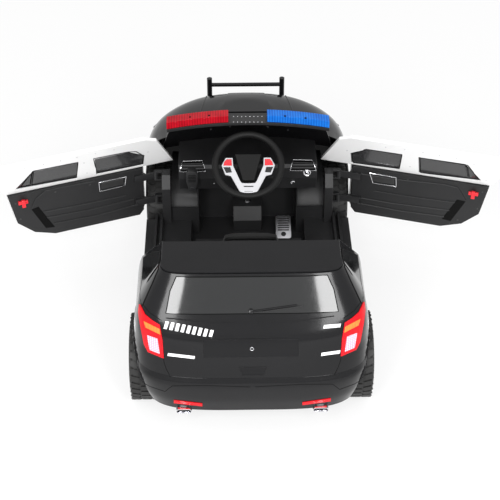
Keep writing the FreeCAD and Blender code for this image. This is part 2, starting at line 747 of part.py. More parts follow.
def upper_outline():
    """The window frame's outside."""
    return [
        (s.door_rear_y, s.belt_height), (s.deck_front_y + 18, s.roof_rail_height - 16),
        (s.deck_front_y + 22, s.roof_rail_height), (s.hinge_y - 46, s.roof_rail_height),
        (s.hinge_y - 2, s.roof_rail_height - 20), (s.sail_tip_y, s.belt_height),
    ]


HINGE_SCOOP = 46
EDGE_ROLL = 20
SILL = s.belt_height + 8
HEAD = s.roof_rail_height - 49
FRONT_WINDOW = [
    (s.hinge_y - 37, SILL - 2), (s.hinge_y - 37, HEAD - 36), (s.hinge_y - 95, HEAD), (s.hinge_y - 209, HEAD),
    (s.hinge_y - 198, SILL),
]
REAR_WINDOW = [
    (s.door_rear_y + 236, SILL), (s.door_rear_y + 237, HEAD), (s.door_rear_y + 84, HEAD + 2),
    (s.door_rear_y + 28, SILL + 10),
]


def closed_door():
    """The right door's pieces in their closed place."""
    shell = side_prism(lower_outline(), s.door_skin_x, s.door_outer_x)
    edge_roll = prism([
        (s.door_outer_x - EDGE_ROLL * 0.7, s.door_front_y, 0), (s.door_outer_x, s.door_front_y - EDGE_ROLL, 0),
        (s.door_outer_x, s.door_front_y, 0),
    ], Vector(0, 0, s.belt_height))
    shell = shell.cut(edge_roll)
    frame = leaned(upper_outline(), s.frame_thickness, s.belt_height)
    for window in (FRONT_WINDOW, REAR_WINDOW):
        wide = [(y, z) for y, z in window]
        frame = frame.cut(leaned(wide, 60, s.belt_height)).cut(leaned(wide, -60, s.belt_height))
    shell = shell.fuse(frame)
    panel = side_prism(lower_outline(3, 7), s.door_inner_x, s.door_skin_x - 0.05)
    scoop = rod(Vector(s.hinge_x, s.hinge_y, 0), Vector(s.hinge_x, s.hinge_y, s.belt_height - 7), HINGE_SCOOP)
    shell = shell.cut(scoop)
    panel = panel.cut(scoop)
    panes = []
    for window in (FRONT_WINDOW, REAR_WINDOW):
        centre_y = sum(y for y, z in window) / len(window)
        centre_z = sum(z for y, z in window) / len(window)
        inset = [(y - 0.4 * (1 if y > centre_y else -1), z - 0.4 * (1 if z > centre_z else -1)) for y, z in window]
        pane = leaned(inset, s.glass_thickness, s.belt_height)
        lean = radians(s.door_lean)
        pane.translate(Vector(-cos(lean), 0, -sin(lean)) * (s.frame_thickness / 2))
        panes.append(pane)
    leaf_low, leaf_high = 240, 336
    barrels = None
    for z in (leaf_low, leaf_high):
        barrel = rod(Vector(s.hinge_x, s.hinge_y, z - 12), Vector(s.hinge_x, s.hinge_y, z + 12),
                     s.hinge_barrel_radius)
        leaf = block(s.hinge_x - 2, s.hinge_x + 4, s.door_front_y - 44, s.hinge_y, z - 12, z + 12)
        leaf = leaf.fuse(block(s.hinge_x - 2, s.door_inner_x + 0.5, s.door_front_y - 44, s.door_front_y - 6,
                               z - 12, z + 12))
        hole = rod(Vector(s.hinge_x, s.hinge_y, z - 20), Vector(s.hinge_x, s.hinge_y, z + 20),
                   s.hinge_pin_radius + s.running_play)
        piece = barrel.fuse(leaf).cut(hole)
        barrels = piece if barrels is None else barrels.fuse(piece)
    panel = panel.fuse(barrels)
    latch = block(s.door_inner_x - 8, s.door_inner_x - 0.05, s.door_rear_y + 34, s.door_rear_y + 66, 330, 342)
    latch = latch.fuse(block(s.door_inner_x - 16, s.door_inner_x - 8, s.door_rear_y + 44, s.door_rear_y + 56, 322, 350))
    handle = block(s.door_inner_x - 3, s.door_inner_x - 0.05, 90, 165, 322, 344)
    mirror = block(s.door_outer_x + 0.05, s.door_outer_x + 60, 208, 236, 350, 400)
    pane_pair = Part.makeCompound(panes)
    return {"door_shell": shell, "door_panel": panel, "door_glass": pane_pair, "door_latch": latch,
            "door_handle": handle, "door_mirror": mirror}


def opened(shape, side):
    """Turns a closed right-door shape to its open place on either side."""
    angle = s.right_door_open if side > 0 else s.left_door_open
    turned_shape = shape.copy()
    turned_shape.rotate(Vector(s.hinge_x, s.hinge_y, 0), Vector(0, 0, 1), angle)
    return turned_shape if side > 0 else mirrored(turned_shape)


for label, shape in closed_door().items():
    for side, word in ((-1, "left"), (1, "right")):
        keep(f"{label}_{word}", opened(shape, side))


def hinge_post(side):
    """The fixed post with the two hinge pins."""
    foot_y = s.well_wall_y - 24
    post = side_prism([
        (foot_y, s.sill_height), (s.well_wall_y, s.sill_height), (s.hinge_y + 12, s.sill_height + 50),
        (s.hinge_y + 12, s.belt_height - 20), (s.hinge_y - 24, s.belt_height - 20),
        (foot_y, s.belt_height - 60),
    ], s.hinge_x - 48, s.hinge_x - 20.5)
    lugs = []
    for z in (240, 336):
        for level in (z - 18, z + 12.5):
            lugs.append(block(s.hinge_x - 20, s.hinge_x, s.hinge_y - 7, s.hinge_y + 7, level, level + 5.5))
            lugs.append(rod(Vector(s.hinge_x, s.hinge_y, level), Vector(s.hinge_x, s.hinge_y, level + 5.5), 7))
        lugs.append(rod(Vector(s.hinge_x, s.hinge_y, z - 18), Vector(s.hinge_x, s.hinge_y, z + 18),
                        s.hinge_pin_radius))
    post = post.fuse(lugs)
    return post if side > 0 else mirrored(post)


keep("hinge_post_left", hinge_post(-1))
keep("hinge_post_right", hinge_post(1))

# light bar
bar_arc = screen_arc(s.bar_half, SCREEN_TOP_Y + 2, SCREEN_BOW - 4, SCREEN_TOP + 0.2, s.bar_depth)
keep("light_bar_base", Part.Face(bar_arc).extrude(Vector(0, 0, 10)))
lens_arc = screen_arc(s.bar_half, SCREEN_TOP_Y, SCREEN_BOW - 4, SCREEN_TOP + 10.3, s.bar_depth - 6)
lens_strip = Part.Face(lens_arc).extrude(Vector(0, 0, s.bar_rise - 10))
keep("light_lens_red", lens_strip.common(block(-400, -s.lens_inner_x, 0, 500, 500, 700)))
keep("light_lens_blue", lens_strip.common(block(s.lens_inner_x, 400, 0, 500, 500, 700)))

# push bar
push = None
for side in (-1, 1):
    x = side * (s.push_bar_half - 8)
    post = rod(Vector(x, PUSH_BAR_Y, s.push_bar_foot), Vector(x, PUSH_BAR_Y, s.push_bar_top), s.push_post_radius)
    push = post if push is None else push.fuse(post)
for z in (s.push_bar_top - 26, s.push_bar_foot + 130, s.push_bar_foot + 30):
    push = push.fuse(rod(Vector(-s.push_bar_half + 8, PUSH_BAR_Y, z), Vector(s.push_bar_half - 8, PUSH_BAR_Y, z), 7))
for side in (-1, 1):
    for z in (s.push_bar_foot + 30, s.push_bar_foot + 130):
        push = push.fuse(rod(Vector(side * (s.push_bar_half - 8), PUSH_BAR_Y, z),
                             Vector(side * (s.push_bar_half - 8), s.nose_y - 30, z), 6))
keep("push_bar", push.cut(FRONT_SOLID).removeSplitter())

doc.recompute()
os.makedirs("parts", exist_ok=True)
for obj in doc.Objects:
    bad = [word for word in obj.State if word in ("Invalid", "Error")]
    if bad:
        raise RuntimeError(f"{obj.Label}: {bad}")
for piece in pieces:
    if piece.Shape.isNull() or not piece.Shape.isValid():
        raise RuntimeError(f"{piece.Label}: shape is not valid")
for piece in pieces:
    piece.Shape.exportStep(f"parts/{piece.Label}.step")
print(len(pieces), "pieces")
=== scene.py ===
"""Looks of a child's ride-on patrol car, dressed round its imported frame, in metres."""
from __future__ import annotations

import json
import logging
import math
from contextlib import contextmanager
from dataclasses import dataclass, field
from enum import Enum
from typing import Iterator, Protocol, Sequence

import bmesh
import bpy
from bpy.types import Material, Mesh, NodeSocket, Object
from mathutils import Matrix, Vector
from mathutils.bvhtree import BVHTree
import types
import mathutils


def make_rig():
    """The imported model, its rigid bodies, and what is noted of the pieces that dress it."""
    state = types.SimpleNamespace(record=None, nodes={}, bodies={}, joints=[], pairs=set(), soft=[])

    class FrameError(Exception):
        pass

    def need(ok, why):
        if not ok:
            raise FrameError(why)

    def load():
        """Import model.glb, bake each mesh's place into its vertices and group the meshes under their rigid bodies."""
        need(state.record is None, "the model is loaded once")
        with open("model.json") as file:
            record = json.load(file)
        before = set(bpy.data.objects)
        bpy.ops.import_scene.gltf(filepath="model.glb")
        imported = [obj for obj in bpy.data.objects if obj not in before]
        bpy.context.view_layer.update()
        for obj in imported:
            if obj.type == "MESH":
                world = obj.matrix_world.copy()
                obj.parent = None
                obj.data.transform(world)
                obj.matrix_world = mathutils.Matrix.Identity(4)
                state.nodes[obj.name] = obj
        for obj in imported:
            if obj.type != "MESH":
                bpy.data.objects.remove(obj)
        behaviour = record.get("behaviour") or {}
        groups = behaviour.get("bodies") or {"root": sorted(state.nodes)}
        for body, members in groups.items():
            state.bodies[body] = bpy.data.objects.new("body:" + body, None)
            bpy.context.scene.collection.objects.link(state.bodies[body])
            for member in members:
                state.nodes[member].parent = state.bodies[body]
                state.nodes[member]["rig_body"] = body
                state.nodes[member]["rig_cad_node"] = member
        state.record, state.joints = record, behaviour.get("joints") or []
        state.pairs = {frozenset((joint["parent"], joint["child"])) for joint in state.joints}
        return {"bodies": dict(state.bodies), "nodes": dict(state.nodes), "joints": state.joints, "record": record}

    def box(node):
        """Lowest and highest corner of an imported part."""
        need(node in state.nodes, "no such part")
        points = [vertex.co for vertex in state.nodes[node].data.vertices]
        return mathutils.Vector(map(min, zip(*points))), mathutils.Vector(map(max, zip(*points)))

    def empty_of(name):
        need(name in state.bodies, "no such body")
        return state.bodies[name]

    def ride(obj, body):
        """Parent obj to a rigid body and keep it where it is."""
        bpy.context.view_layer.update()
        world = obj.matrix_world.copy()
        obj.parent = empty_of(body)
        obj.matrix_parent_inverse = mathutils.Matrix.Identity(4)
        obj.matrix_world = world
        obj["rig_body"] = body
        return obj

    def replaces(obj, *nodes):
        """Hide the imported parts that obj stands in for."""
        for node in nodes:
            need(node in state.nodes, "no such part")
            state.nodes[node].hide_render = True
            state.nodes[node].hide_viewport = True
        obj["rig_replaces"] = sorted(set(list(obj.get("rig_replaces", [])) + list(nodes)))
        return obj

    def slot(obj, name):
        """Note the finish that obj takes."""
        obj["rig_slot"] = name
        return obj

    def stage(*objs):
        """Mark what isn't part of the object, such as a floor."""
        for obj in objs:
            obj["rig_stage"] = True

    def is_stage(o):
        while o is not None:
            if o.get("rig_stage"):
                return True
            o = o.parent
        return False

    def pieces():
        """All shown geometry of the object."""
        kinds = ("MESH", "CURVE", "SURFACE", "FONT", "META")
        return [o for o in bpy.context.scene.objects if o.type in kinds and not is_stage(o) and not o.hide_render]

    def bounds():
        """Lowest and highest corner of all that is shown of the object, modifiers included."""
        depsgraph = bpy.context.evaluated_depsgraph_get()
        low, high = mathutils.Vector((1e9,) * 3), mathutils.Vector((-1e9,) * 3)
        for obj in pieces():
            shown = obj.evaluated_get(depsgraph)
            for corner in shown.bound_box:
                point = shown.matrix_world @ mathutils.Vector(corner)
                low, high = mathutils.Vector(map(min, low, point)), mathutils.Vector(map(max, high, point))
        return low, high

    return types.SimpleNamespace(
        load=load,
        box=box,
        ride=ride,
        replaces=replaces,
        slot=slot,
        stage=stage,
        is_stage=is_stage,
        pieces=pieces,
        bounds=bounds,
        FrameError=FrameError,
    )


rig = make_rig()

LOG = logging.getLogger("patrol_car")
SIZE_FILE = "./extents.json"
Colour = tuple[float, float, float]
Triple = tuple[float, float, float]
Pair = tuple[float, float]
Loop = tuple[Pair, ...]
RIGHTWARD, LEFTWARD = Vector((1, 0, 0)), Vector((-1, 0, 0))
FORWARD, BACKWARD = Vector((0, 1, 0)), Vector((0, -1, 0))
UPWARD, DOWNWARD = Vector((0, 0, 1)), Vector((0, 0, -1))


class Side(Enum):
    """The two sides of the car, by the sign of X."""

    LEFT = -1
    RIGHT = 1

    @property
    def word(self) -> str:
        """The side's name as the nodes spell it."""
        return self.name.lower()

    @property
    def outward(self) -> Vector:
        """The direction away from the car's middle."""
        return Vector((float(self.value), 0.0, 0.0))


def flipped(loop: Sequence[Pair]) -> list[Pair]:
    """A row of places mirrored in the car's middle plane and run the other way."""
    return [(-across, up) for across, up in reversed(loop)]


def new_node(tree: bpy.types.NodeTree, kind: str, settings: dict) -> bpy.types.Node:
    """A new node of a shader or geometry tree, its settings made first.

    Args:
        tree: the tree that takes it.
        kind: the node's type.
        settings: what is set on it first.

    Returns:
        The node.
    """
    node = tree.nodes.new(kind)
    for key, value in settings.items():
        setattr(node, key, value)
    return node


def linked(name: str, data: bpy.types.ID) -> Object:
    """A new object of the scene with the given data.

    Args:
        name: the object's name.
        data: its mesh, curve, lamp or camera.

    Returns:
        The object.
    """
    thing = bpy.data.objects.new(name, data)
    bpy.context.scene.collection.objects.link(thing)
    return thing


@contextmanager
def reworked(mesh: Mesh) -> Iterator[bmesh.types.BMesh]:
    """Opens a mesh for editing and writes it back at the end."""
    work = bmesh.new()
    work.from_mesh(mesh)
    yield work
    work.to_mesh(mesh)
    work.free()


class Signal:
    """A shader socket that takes part in sums and products."""

    def __init__(self, graph: ShaderGraph, socket: NodeSocket) -> None:
        """Keeps the graph and the output socket."""
        self.graph = graph
        self.socket = socket

    def _maths(self, operation: str, *values: Signal | float) -> Signal:
        """Adds one Math node over the given values."""
        return self.graph.add("ShaderNodeMath", {"operation": operation}, dict(enumerate(values)))

    def __add__(self, other: Signal | float) -> Signal:
        """Sum."""
        return self._maths("ADD", self, other)

    def __radd__(self, other: float) -> Signal:
        """Sum with a number on the left."""
        return self._maths("ADD", other, self)

    def __sub__(self, other: Signal | float) -> Signal:
        """Difference."""
        return self._maths("SUBTRACT", self, other)

    def __rsub__(self, other: float) -> Signal:
        """Difference from a number."""
        return self._maths("SUBTRACT", other, self)

    def __mul__(self, other: Signal | float) -> Signal:
        """Product."""
        return self._maths("MULTIPLY", self, other)

    def __rmul__(self, other: float) -> Signal:
        """Product with a number on the left."""
        return self._maths("MULTIPLY", other, self)

    def __truediv__(self, other: Signal | float) -> Signal:
        """Quotient."""
        return self._maths("DIVIDE", self, other)

    def __abs__(self) -> Signal:
        """Size without sign."""
        return self._maths("ABSOLUTE", self)

    def wrapped(self, period: float) -> Signal:
        """Remainder of a repeat."""
        return self._maths("FLOORED_MODULO", self, period)

    def clamped(self) -> Signal:
        """Held between nought and one."""
        return self.graph.add("ShaderNodeClamp", {}, {"Value": self})


class ShaderGraph:
    """A material's node tree with one Principled surface."""

    mix_factor: int = 0
    mix_colours: tuple[int, int] = (6, 7)
    mix_result: int = 2

    def __init__(self, name: str) -> None:
        """Makes the material with its output."""
        self.material = bpy.data.materials.new(name)
        self.material.use_nodes = True
        self.tree = self.material.node_tree
        self.tree.nodes.clear()
        self.output = self.tree.nodes.new("ShaderNodeOutputMaterial")

    def add(self, kind: str, settings: dict, inputs: dict, output: int | str = 0) -> Signal:
        """Adds any node.

        Args:
            kind: the node's type.
            settings: what is set on the node first.
            inputs: values or signals by socket name or number.
            output: which output the signal carries.

        Returns:
            The chosen output as a signal.
        """
        node = new_node(self.tree, kind, settings)
        for key, value in inputs.items():
            socket = node.inputs[key]
            if isinstance(value, Signal):
                self.tree.links.new(value.socket, socket)
            elif socket.type == "RGBA" and len(value) == 3:
                socket.default_value = (*value, 1.0)
            else:
                socket.default_value = value
        return Signal(self, node.outputs[output])

    def place(self) -> Signal:
        """Object coordinates."""
        return self.add("ShaderNodeTexCoord", {}, {}, "Object")

    def axes(self) -> tuple[Signal, Signal, Signal]:
        """Object coordinates as three numbers."""
        node = self.add("ShaderNodeSeparateXYZ", {}, {0: self.place()}).socket.node
        return tuple(Signal(self, node.outputs[i]) for i in range(3))

    def noise(self, scale: float, detail: float = 2.0, roughness: float = 0.5) -> Signal:
        """Cloud noise in object space.

        Args:
            scale: how fine it is.
            detail: its layers.
            roughness: how strong the finer layers are.

        Returns:
            The noise as a signal.
        """
        return self.add("ShaderNodeTexNoise", {}, {
            "Vector": self.place(), "Scale": scale, "Detail": detail, "Roughness": roughness,
        })

    def mixed(self, mask: Signal | float, first: Colour | Signal, second: Colour | Signal) -> Signal:
        """A colour between two, by a mask."""
        inputs = {self.mix_factor: mask, **dict(zip(self.mix_colours, (first, second)))}
        return self.add("ShaderNodeMix", {"data_type": "RGBA"}, inputs, self.mix_result)

    def bump(self, height: Signal, depth: float, strength: float = 1.0) -> Signal:
        """A bumped normal."""
        return self.add("ShaderNodeBump", {}, {"Height": height, "Distance": depth, "Strength": strength})

    def surface(self, **inputs: object) -> Material:
        """Closes the graph with a Principled surface, its inputs spelt with underscores.

        Args:
            inputs: values or signals by socket name.

        Returns:
            The finished material.
        """
        values = {key.replace("_", " "): value for key, value in inputs.items()}
        shader = self.add("ShaderNodeBsdfPrincipled", {}, values)
        self.tree.links.new(shader.socket, self.output.inputs[0])
        return self.material


@dataclass(frozen=True)
class Finish:
    """A finish with a name, made once."""

    name: str

    def material(self) -> Material:
        """The finish's material, built at its first use."""
        found = bpy.data.materials.get(self.name)
        return found if found else self.build(ShaderGraph(self.name))

    def build(self, graph: ShaderGraph) -> Material:
        """Builds the material; each kind of finish has its own way."""
        raise NotImplementedError


@dataclass(frozen=True)
class GlossShell(Finish):
    """Polished moulded shell with a faint flow ripple and fine rubbing marks."""

    colour: Colour = (0.004, 0.004, 0.0045)
    worn: Colour = (0.008, 0.008, 0.009)
    roughness: float = 0.14
    coat: float = 0.2
    ripple: float = 0.0001
    specular: float = 0.2
    wear_scale: float = 5.0
    scuff_scale: float = 90.0
    ripple_scale: float = 14.0
    scuff_low: float = 0.03
    scuff_reach: float = 0.08
    coat_roughness: float = 0.06
    coat_ior: float = 1.35

    def build(self, graph: ShaderGraph) -> Material:
        """Builds the polished shell."""
        wear = graph.noise(self.wear_scale, 3.0)
        scuff = graph.noise(self.scuff_scale, 4.0, 0.7)
        colour = graph.mixed(wear, self.colour, self.worn)
        roughness = scuff * self.scuff_reach + (self.roughness - self.scuff_low)
        ripple = graph.noise(self.ripple_scale, 1.0)
        return graph.surface(
            Base_Color=colour, Roughness=roughness, Specular_IOR_Level=self.specular, Coat_Weight=self.coat,
            Coat_Roughness=self.coat_roughness, Coat_IOR=self.coat_ior, Normal=graph.bump(ripple, self.ripple),
        )


@dataclass(frozen=True)
class GrainMoulding(Finish):
    """Moulded plastic with a leather-like grain."""

    colour: Colour = (0.013, 0.013, 0.0135)
    worn: Colour = (0.021, 0.021, 0.022)
    roughness: float = 0.46
    grain: float = 0.00016
    grain_scale: float = 620.0
    specular: float = 0.3
    wear_scale: float = 7.0
    wear_reach: float = 0.16
    grain_strength: float = 0.7

    def build(self, graph: ShaderGraph) -> Material:
        """Builds the grained moulding."""
        cells = graph.add("ShaderNodeTexVoronoi", {"feature": "DISTANCE_TO_EDGE"}, {
            "Vector": graph.place(), "Scale": self.grain_scale,
        })
        wear = graph.noise(self.wear_scale, 4.0, 0.6)
        colour = graph.mixed(wear, self.colour, self.worn)
        roughness = wear * self.wear_reach + (self.roughness - self.wear_reach / 2)
        return graph.surface(
            Base_Color=colour, Roughness=roughness, Specular_IOR_Level=self.specular,
            Normal=graph.bump(cells, self.grain, self.grain_strength),
        )


@dataclass(frozen=True)
class BrightPlate(Finish):
    """Bright plated or painted metal look with a fine haze."""

    colour: Colour = (0.82, 0.82, 0.84)
    roughness: float = 0.12
    metallic: float = 1.0
    haze_scale: float = 60.0
    haze_shade: float = 0.92
    haze_reach: float = 0.12
    haze_low: float = 0.04

    def build(self, graph: ShaderGraph) -> Material:
        """Builds the plating."""
        haze = graph.noise(self.haze_scale, 3.0)
        colour = graph.mixed(haze, tuple(c * self.haze_shade for c in self.colour), self.colour)
        roughness = haze * self.haze_reach + (self.roughness - self.haze_low)
        return graph.surface(Base_Color=colour, Roughness=roughness, Metallic=self.metallic)


@dataclass(frozen=True)
class LampLens(Finish):
    """Clear coloured lens with painted highlights along its inner ribs and a faint painted glow, though nothing lights
    it.
    """

    deep: Colour = (0.36, 0.003, 0.008)
    # light: the paler red, both for the painted rib highlights and for the paler random tone
    light: Colour = (0.82, 0.025, 0.04)
    rib_pitch: float = 0.0045
    # painted glow: emission that makes the lens shine a little, though nothing lights it
    glow: float = 0.15
    # share of the colour mask that is painted rib highlight; the rest is random tone
    rib_share: float = 0.5
    coat: float = 0.8
    coat_roughness: float = 0.04
    cloud_scale: float = 35.0
    rib_depth: float = 0.0004

    def build(self, graph: ShaderGraph) -> Material:
        """Builds the ribbed lens, its painted rib highlights and its painted glow."""
        across, _, _ = graph.axes()
        # Painted highlight: the colour turns paler along the inner ribs, where light would catch them, mixed with
        # random tone from cloud noise; the emission is a painted glow.
        ribs = abs(across.wrapped(self.rib_pitch) / self.rib_pitch - 0.5) * 2.0
        cloud = graph.noise(self.cloud_scale)
        mask = (ribs * self.rib_share + cloud * (1.0 - self.rib_share)).clamped()
        colour = graph.mixed(mask, self.deep, self.light)
        return graph.surface(
            Base_Color=colour, Roughness=0.12 + (1.0 - self.coat) * 0.3, Coat_Weight=self.coat,
            Coat_Roughness=self.coat_roughness, Specular_IOR_Level=self.coat * 0.6, Emission_Color=colour,
            Emission_Strength=self.glow, Normal=graph.bump(ribs, self.rib_depth, 0.5),
        )


@dataclass(frozen=True)
class PrismLens(Finish):
    """Pale lens block with a grid of small round prisms and a faint painted glow."""

    between: Colour = (0.8, 0.28, 0.4)
    prism: Colour = (0.86, 0.66, 0.74)
    pitch: float = 0.006
    glow: float = 0.12
    dot_edge: float = 1.3
    dot_fall: float = 7.0
    dot_depth: float = 0.0008

    def build(self, graph: ShaderGraph) -> Material:
        """Builds the prism grid."""
        across, _, up = graph.axes()
        first, second = (axis.wrapped(self.pitch) / self.pitch - 0.5 for axis in (across, up))
        reach = first * first + second * second
        mask = (self.dot_edge - reach * self.dot_fall).clamped()
        colour = graph.mixed(mask, self.between, self.prism)
        # Painted glow: the block shines faintly by emission, though nothing lights it.
        return graph.surface(
            Base_Color=colour, Roughness=0.15, Coat_Weight=0.7, Coat_Roughness=0.05,
            Emission_Color=colour, Emission_Strength=self.glow, Normal=graph.bump(mask, self.dot_depth, 0.8),
        )


@dataclass(frozen=True)
class SmokedSheet(Finish):
    """Smoked glazing sheet that lets some light through."""

    colour: Colour = (0.025, 0.025, 0.026)
    clear: float = 0.14
    roughness: float = 0.08
    cloud_scale: float = 8.0
    lighter: float = 1.5

    def build(self, graph: ShaderGraph) -> Material:
        """Builds the smoked sheet."""
        cloud = graph.noise(self.cloud_scale)
        colour = graph.mixed(cloud, self.colour, tuple(c * self.lighter for c in self.colour))
        return graph.surface(
            Base_Color=colour, Roughness=cloud * 0.05 + self.roughness,
            Alpha=cloud * 0.04 + (1.0 - self.clear),
        )


@dataclass(frozen=True)
class TyrePlastic(Finish):
    """Hollow blown tyre in dull black with dust on its tread."""

    colour: Colour = (0.01, 0.01, 0.01)
    dust: Colour = (0.035, 0.034, 0.032)
    dust_share: float = 0.5
    roughness: float = 0.42
    specular: float = 0.35
    skin_scale: float = 180.0
    patch_scale: float = 11.0
    skin_depth: float = 0.0002

    def build(self, graph: ShaderGraph) -> Material:
        """Builds the tyre."""
        fine = graph.noise(self.skin_scale, 3.0)
        patch = graph.noise(self.patch_scale, 4.0, 0.65)
        colour = graph.mixed((patch * 1.6 - 0.55).clamped() * self.dust_share, self.colour, self.dust)
        return graph.surface(
            Base_Color=colour, Roughness=patch * 0.2 + self.roughness, Specular_IOR_Level=self.specular,
            Normal=graph.bump(fine, self.skin_depth, 0.6),
        )


BLACK_GLOSS = GlossShell("black_gloss_shell")
DARK_PANEL = GlossShell("dark_smooth_panel", (0.003, 0.003, 0.0035), (0.005, 0.005, 0.006), 0.3, 0.1, 0.0001, 0.2)
DARK_GLASS = GlossShell("dark_glazing", (0.006, 0.0065, 0.007), (0.009, 0.0095, 0.01), 0.07, 0.5, 0.00004, 0.5)
WHITE_GLOSS = GlossShell("white_gloss_shell", (0.8, 0.8, 0.8), (0.84, 0.84, 0.84), 0.24, 0.3, 0.00006, 0.4)
PALE_MARK = GlossShell("pale_sheet_mark", (0.78, 0.78, 0.78), (0.84, 0.84, 0.84), 0.35, 0.1, 0.00002, 0.3)
# Near-black matt finish for seams, seals, dark rivets and print, and for the patches of painted shade in vents, grille
# openings, door pockets, microphone slots and pipe bores.
SEAM_AND_SHADE_BLACK = GlossShell("dark_seam", (0.0015, 0.0015, 0.0015), (0.003, 0.003, 0.003), 0.6, 0.0, 0.00002, 0.1)
BLACK_GRAIN = GrainMoulding("black_grained_moulding")
DECK_GRAIN = GrainMoulding("deck_fine_grain", (0.009, 0.009, 0.0095), (0.014, 0.014, 0.015), 0.38, 0.00006, 900.0, 0.1)
GRIP = GrainMoulding("steering_grip", (0.006, 0.006, 0.006), (0.01, 0.01, 0.01), 0.5, 0.0002, 500.0, 0.15)
CHROME = BrightPlate("bright_plated_trim")
SILVER = BrightPlate("silver_painted_plastic", (0.55, 0.55, 0.57), 0.34, 0.35)
STEEL = BrightPlate("zinc_plated_steel", (0.5, 0.5, 0.52), 0.35)
DARK_METAL = BrightPlate("blackened_screw", (0.06, 0.06, 0.06), 0.35, 0.6)
RED_PLASTIC = GlossShell("bright_red_moulding", (0.7, 0.012, 0.02), (0.8, 0.02, 0.035), 0.3, 0.3, 0.00005, 0.4)
# Lens finishes: each has painted rib highlights, and its fifth number is its painted glow.
RED_LENS = LampLens("red_lamp_lens", (0.42, 0.002, 0.006), (0.72, 0.006, 0.014), 0.0045, 0.12, 0.5, 0.2)
STROBE_RED = LampLens("red_strobe_lens", (0.12, 0.001, 0.004), (0.58, 0.01, 0.022), 0.0082, 0.12, 0.45, 0.12)
ORANGE_LENS = LampLens("orange_lamp_lens", (0.75, 0.09, 0.01), (1.0, 0.25, 0.02))
BLUE_LENS = LampLens("blue_strobe_lens", (0.0, 0.035, 0.3), (0.02, 0.22, 0.72), 0.0082, 0.12, 0.45, 0.12)
CLEAR_LENS = LampLens("clear_front_lens", (0.28, 0.29, 0.31), (0.85, 0.87, 0.9), 0.009, 0.05, 0.75)
PRISM_BLOCK = PrismLens("pale_prism_block")
SMOKED = SmokedSheet("smoked_window_sheet")
TYRE = TyrePlastic("black_tyre")

FINISH_OF_SLOT: dict[str, Finish] = {
    "black_gloss": BLACK_GLOSS, "black_moulding": BLACK_GRAIN, "dark_panel": DARK_PANEL,
    "tinted_glass": SMOKED, "white_gloss": WHITE_GLOSS, "chrome_trim": CHROME,
    "silver_paint": SILVER, "steel": STEEL, "black_grip": GRIP, "red_plastic": RED_PLASTIC,
    "red_lens": RED_LENS, "blue_lens": BLUE_LENS, "tyre_black": TYRE, "battery_case": BLACK_GRAIN,
}
FINISH_OF_NODE: dict[str, Finish] = {
    "rear_deck": DECK_GRAIN, "light_lens_red": STROBE_RED, "horn_pad": GRIP, "door_handle_left": DARK_METAL,
    "door_handle_right": DARK_METAL,
}


@dataclass
class Frame:
    """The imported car: its nodes, bodies and slots."""

    data: dict = field(default_factory=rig.load)

    def __post_init__(self) -> None:
        """Notes each node's body and slot."""
        record = self.data["record"]
        self.body_of = {node: body for body, nodes in record["behaviour"]["bodies"].items() for node in nodes}
        self.slot_of = {part["node"]: part["material_slot"] for part in record["subparts"]}

    def node(self, name: str) -> Object:
        """The CAD object of a node."""
        return self.data["nodes"][name]

    def middle(self, name: str) -> Vector:
        """The middle of a node's box."""
        low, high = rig.box(name)
        return (Vector(low) + Vector(high)) / 2


class Aim(Protocol):
    """A way of looking at the car from which pieces are set on its surface."""

    def ray(self, first: float, second: float) -> tuple[Vector, Vector]:
        """Start and direction of the look through two numbers."""
        ...


@dataclass
class Viewpoint:
    """The photograph's line of sight, an aim in pixels of its 500 px frame."""

    aim: Vector
    elevation_deg: float = 38.0
    yaw_deg: float = 1.13
    roll_deg: float = 0.13
    distance: float = 4.343
    focal_px: float = 1362.2
    frame_px: float = 500.0

    def axes(self) -> tuple[Vector, Vector, Vector]:
        """Right, up and ahead."""
        tilt, yaw, roll = (math.radians(v) for v in (self.elevation_deg, self.yaw_deg, self.roll_deg))
        ahead = Vector((math.sin(yaw) * math.cos(tilt), math.cos(yaw) * math.cos(tilt), -math.sin(tilt)))
        level = Vector((math.cos(yaw), -math.sin(yaw), 0.0))
        upright = level.cross(ahead)
        right = level * math.cos(roll) + upright * math.sin(roll)
        return right, upright * math.cos(roll) - level * math.sin(roll), ahead

    def ray(self, first: float, second: float) -> tuple[Vector, Vector]:
        """The look through a pixel, counted from the upper left.

        Args:
            first: pixels to the right.
            second: pixels down.

        Returns:
            The camera's place and the look's direction.
        """
        right, up, ahead = self.axes()
        half = self.frame_px / 2
        way = ahead * self.focal_px + right * (first - half) - up * (second - half)
        return self.aim - ahead * self.distance, way.normalized()


@dataclass(frozen=True)
class LevelLook:
    """A look along one direction; the two numbers are metres along two axes from an origin."""

    origin: Vector
    across: Vector
    up: Vector
    ahead: Vector

    def ray(self, first: float, second: float) -> tuple[Vector, Vector]:
        """The look through a place."""
        return self.origin + self.across * first + self.up * second, self.ahead


FROM_ABOVE = LevelLook(UPWARD, RIGHTWARD, FORWARD, DOWNWARD)
FROM_BEHIND = LevelLook(BACKWARD, RIGHTWARD, UPWARD, FORWARD)
FROM_FRONT = LevelLook(FORWARD, RIGHTWARD, UPWARD, BACKWARD)
FROM_LEFT = LevelLook(LEFTWARD, FORWARD, UPWARD, RIGHTWARD)


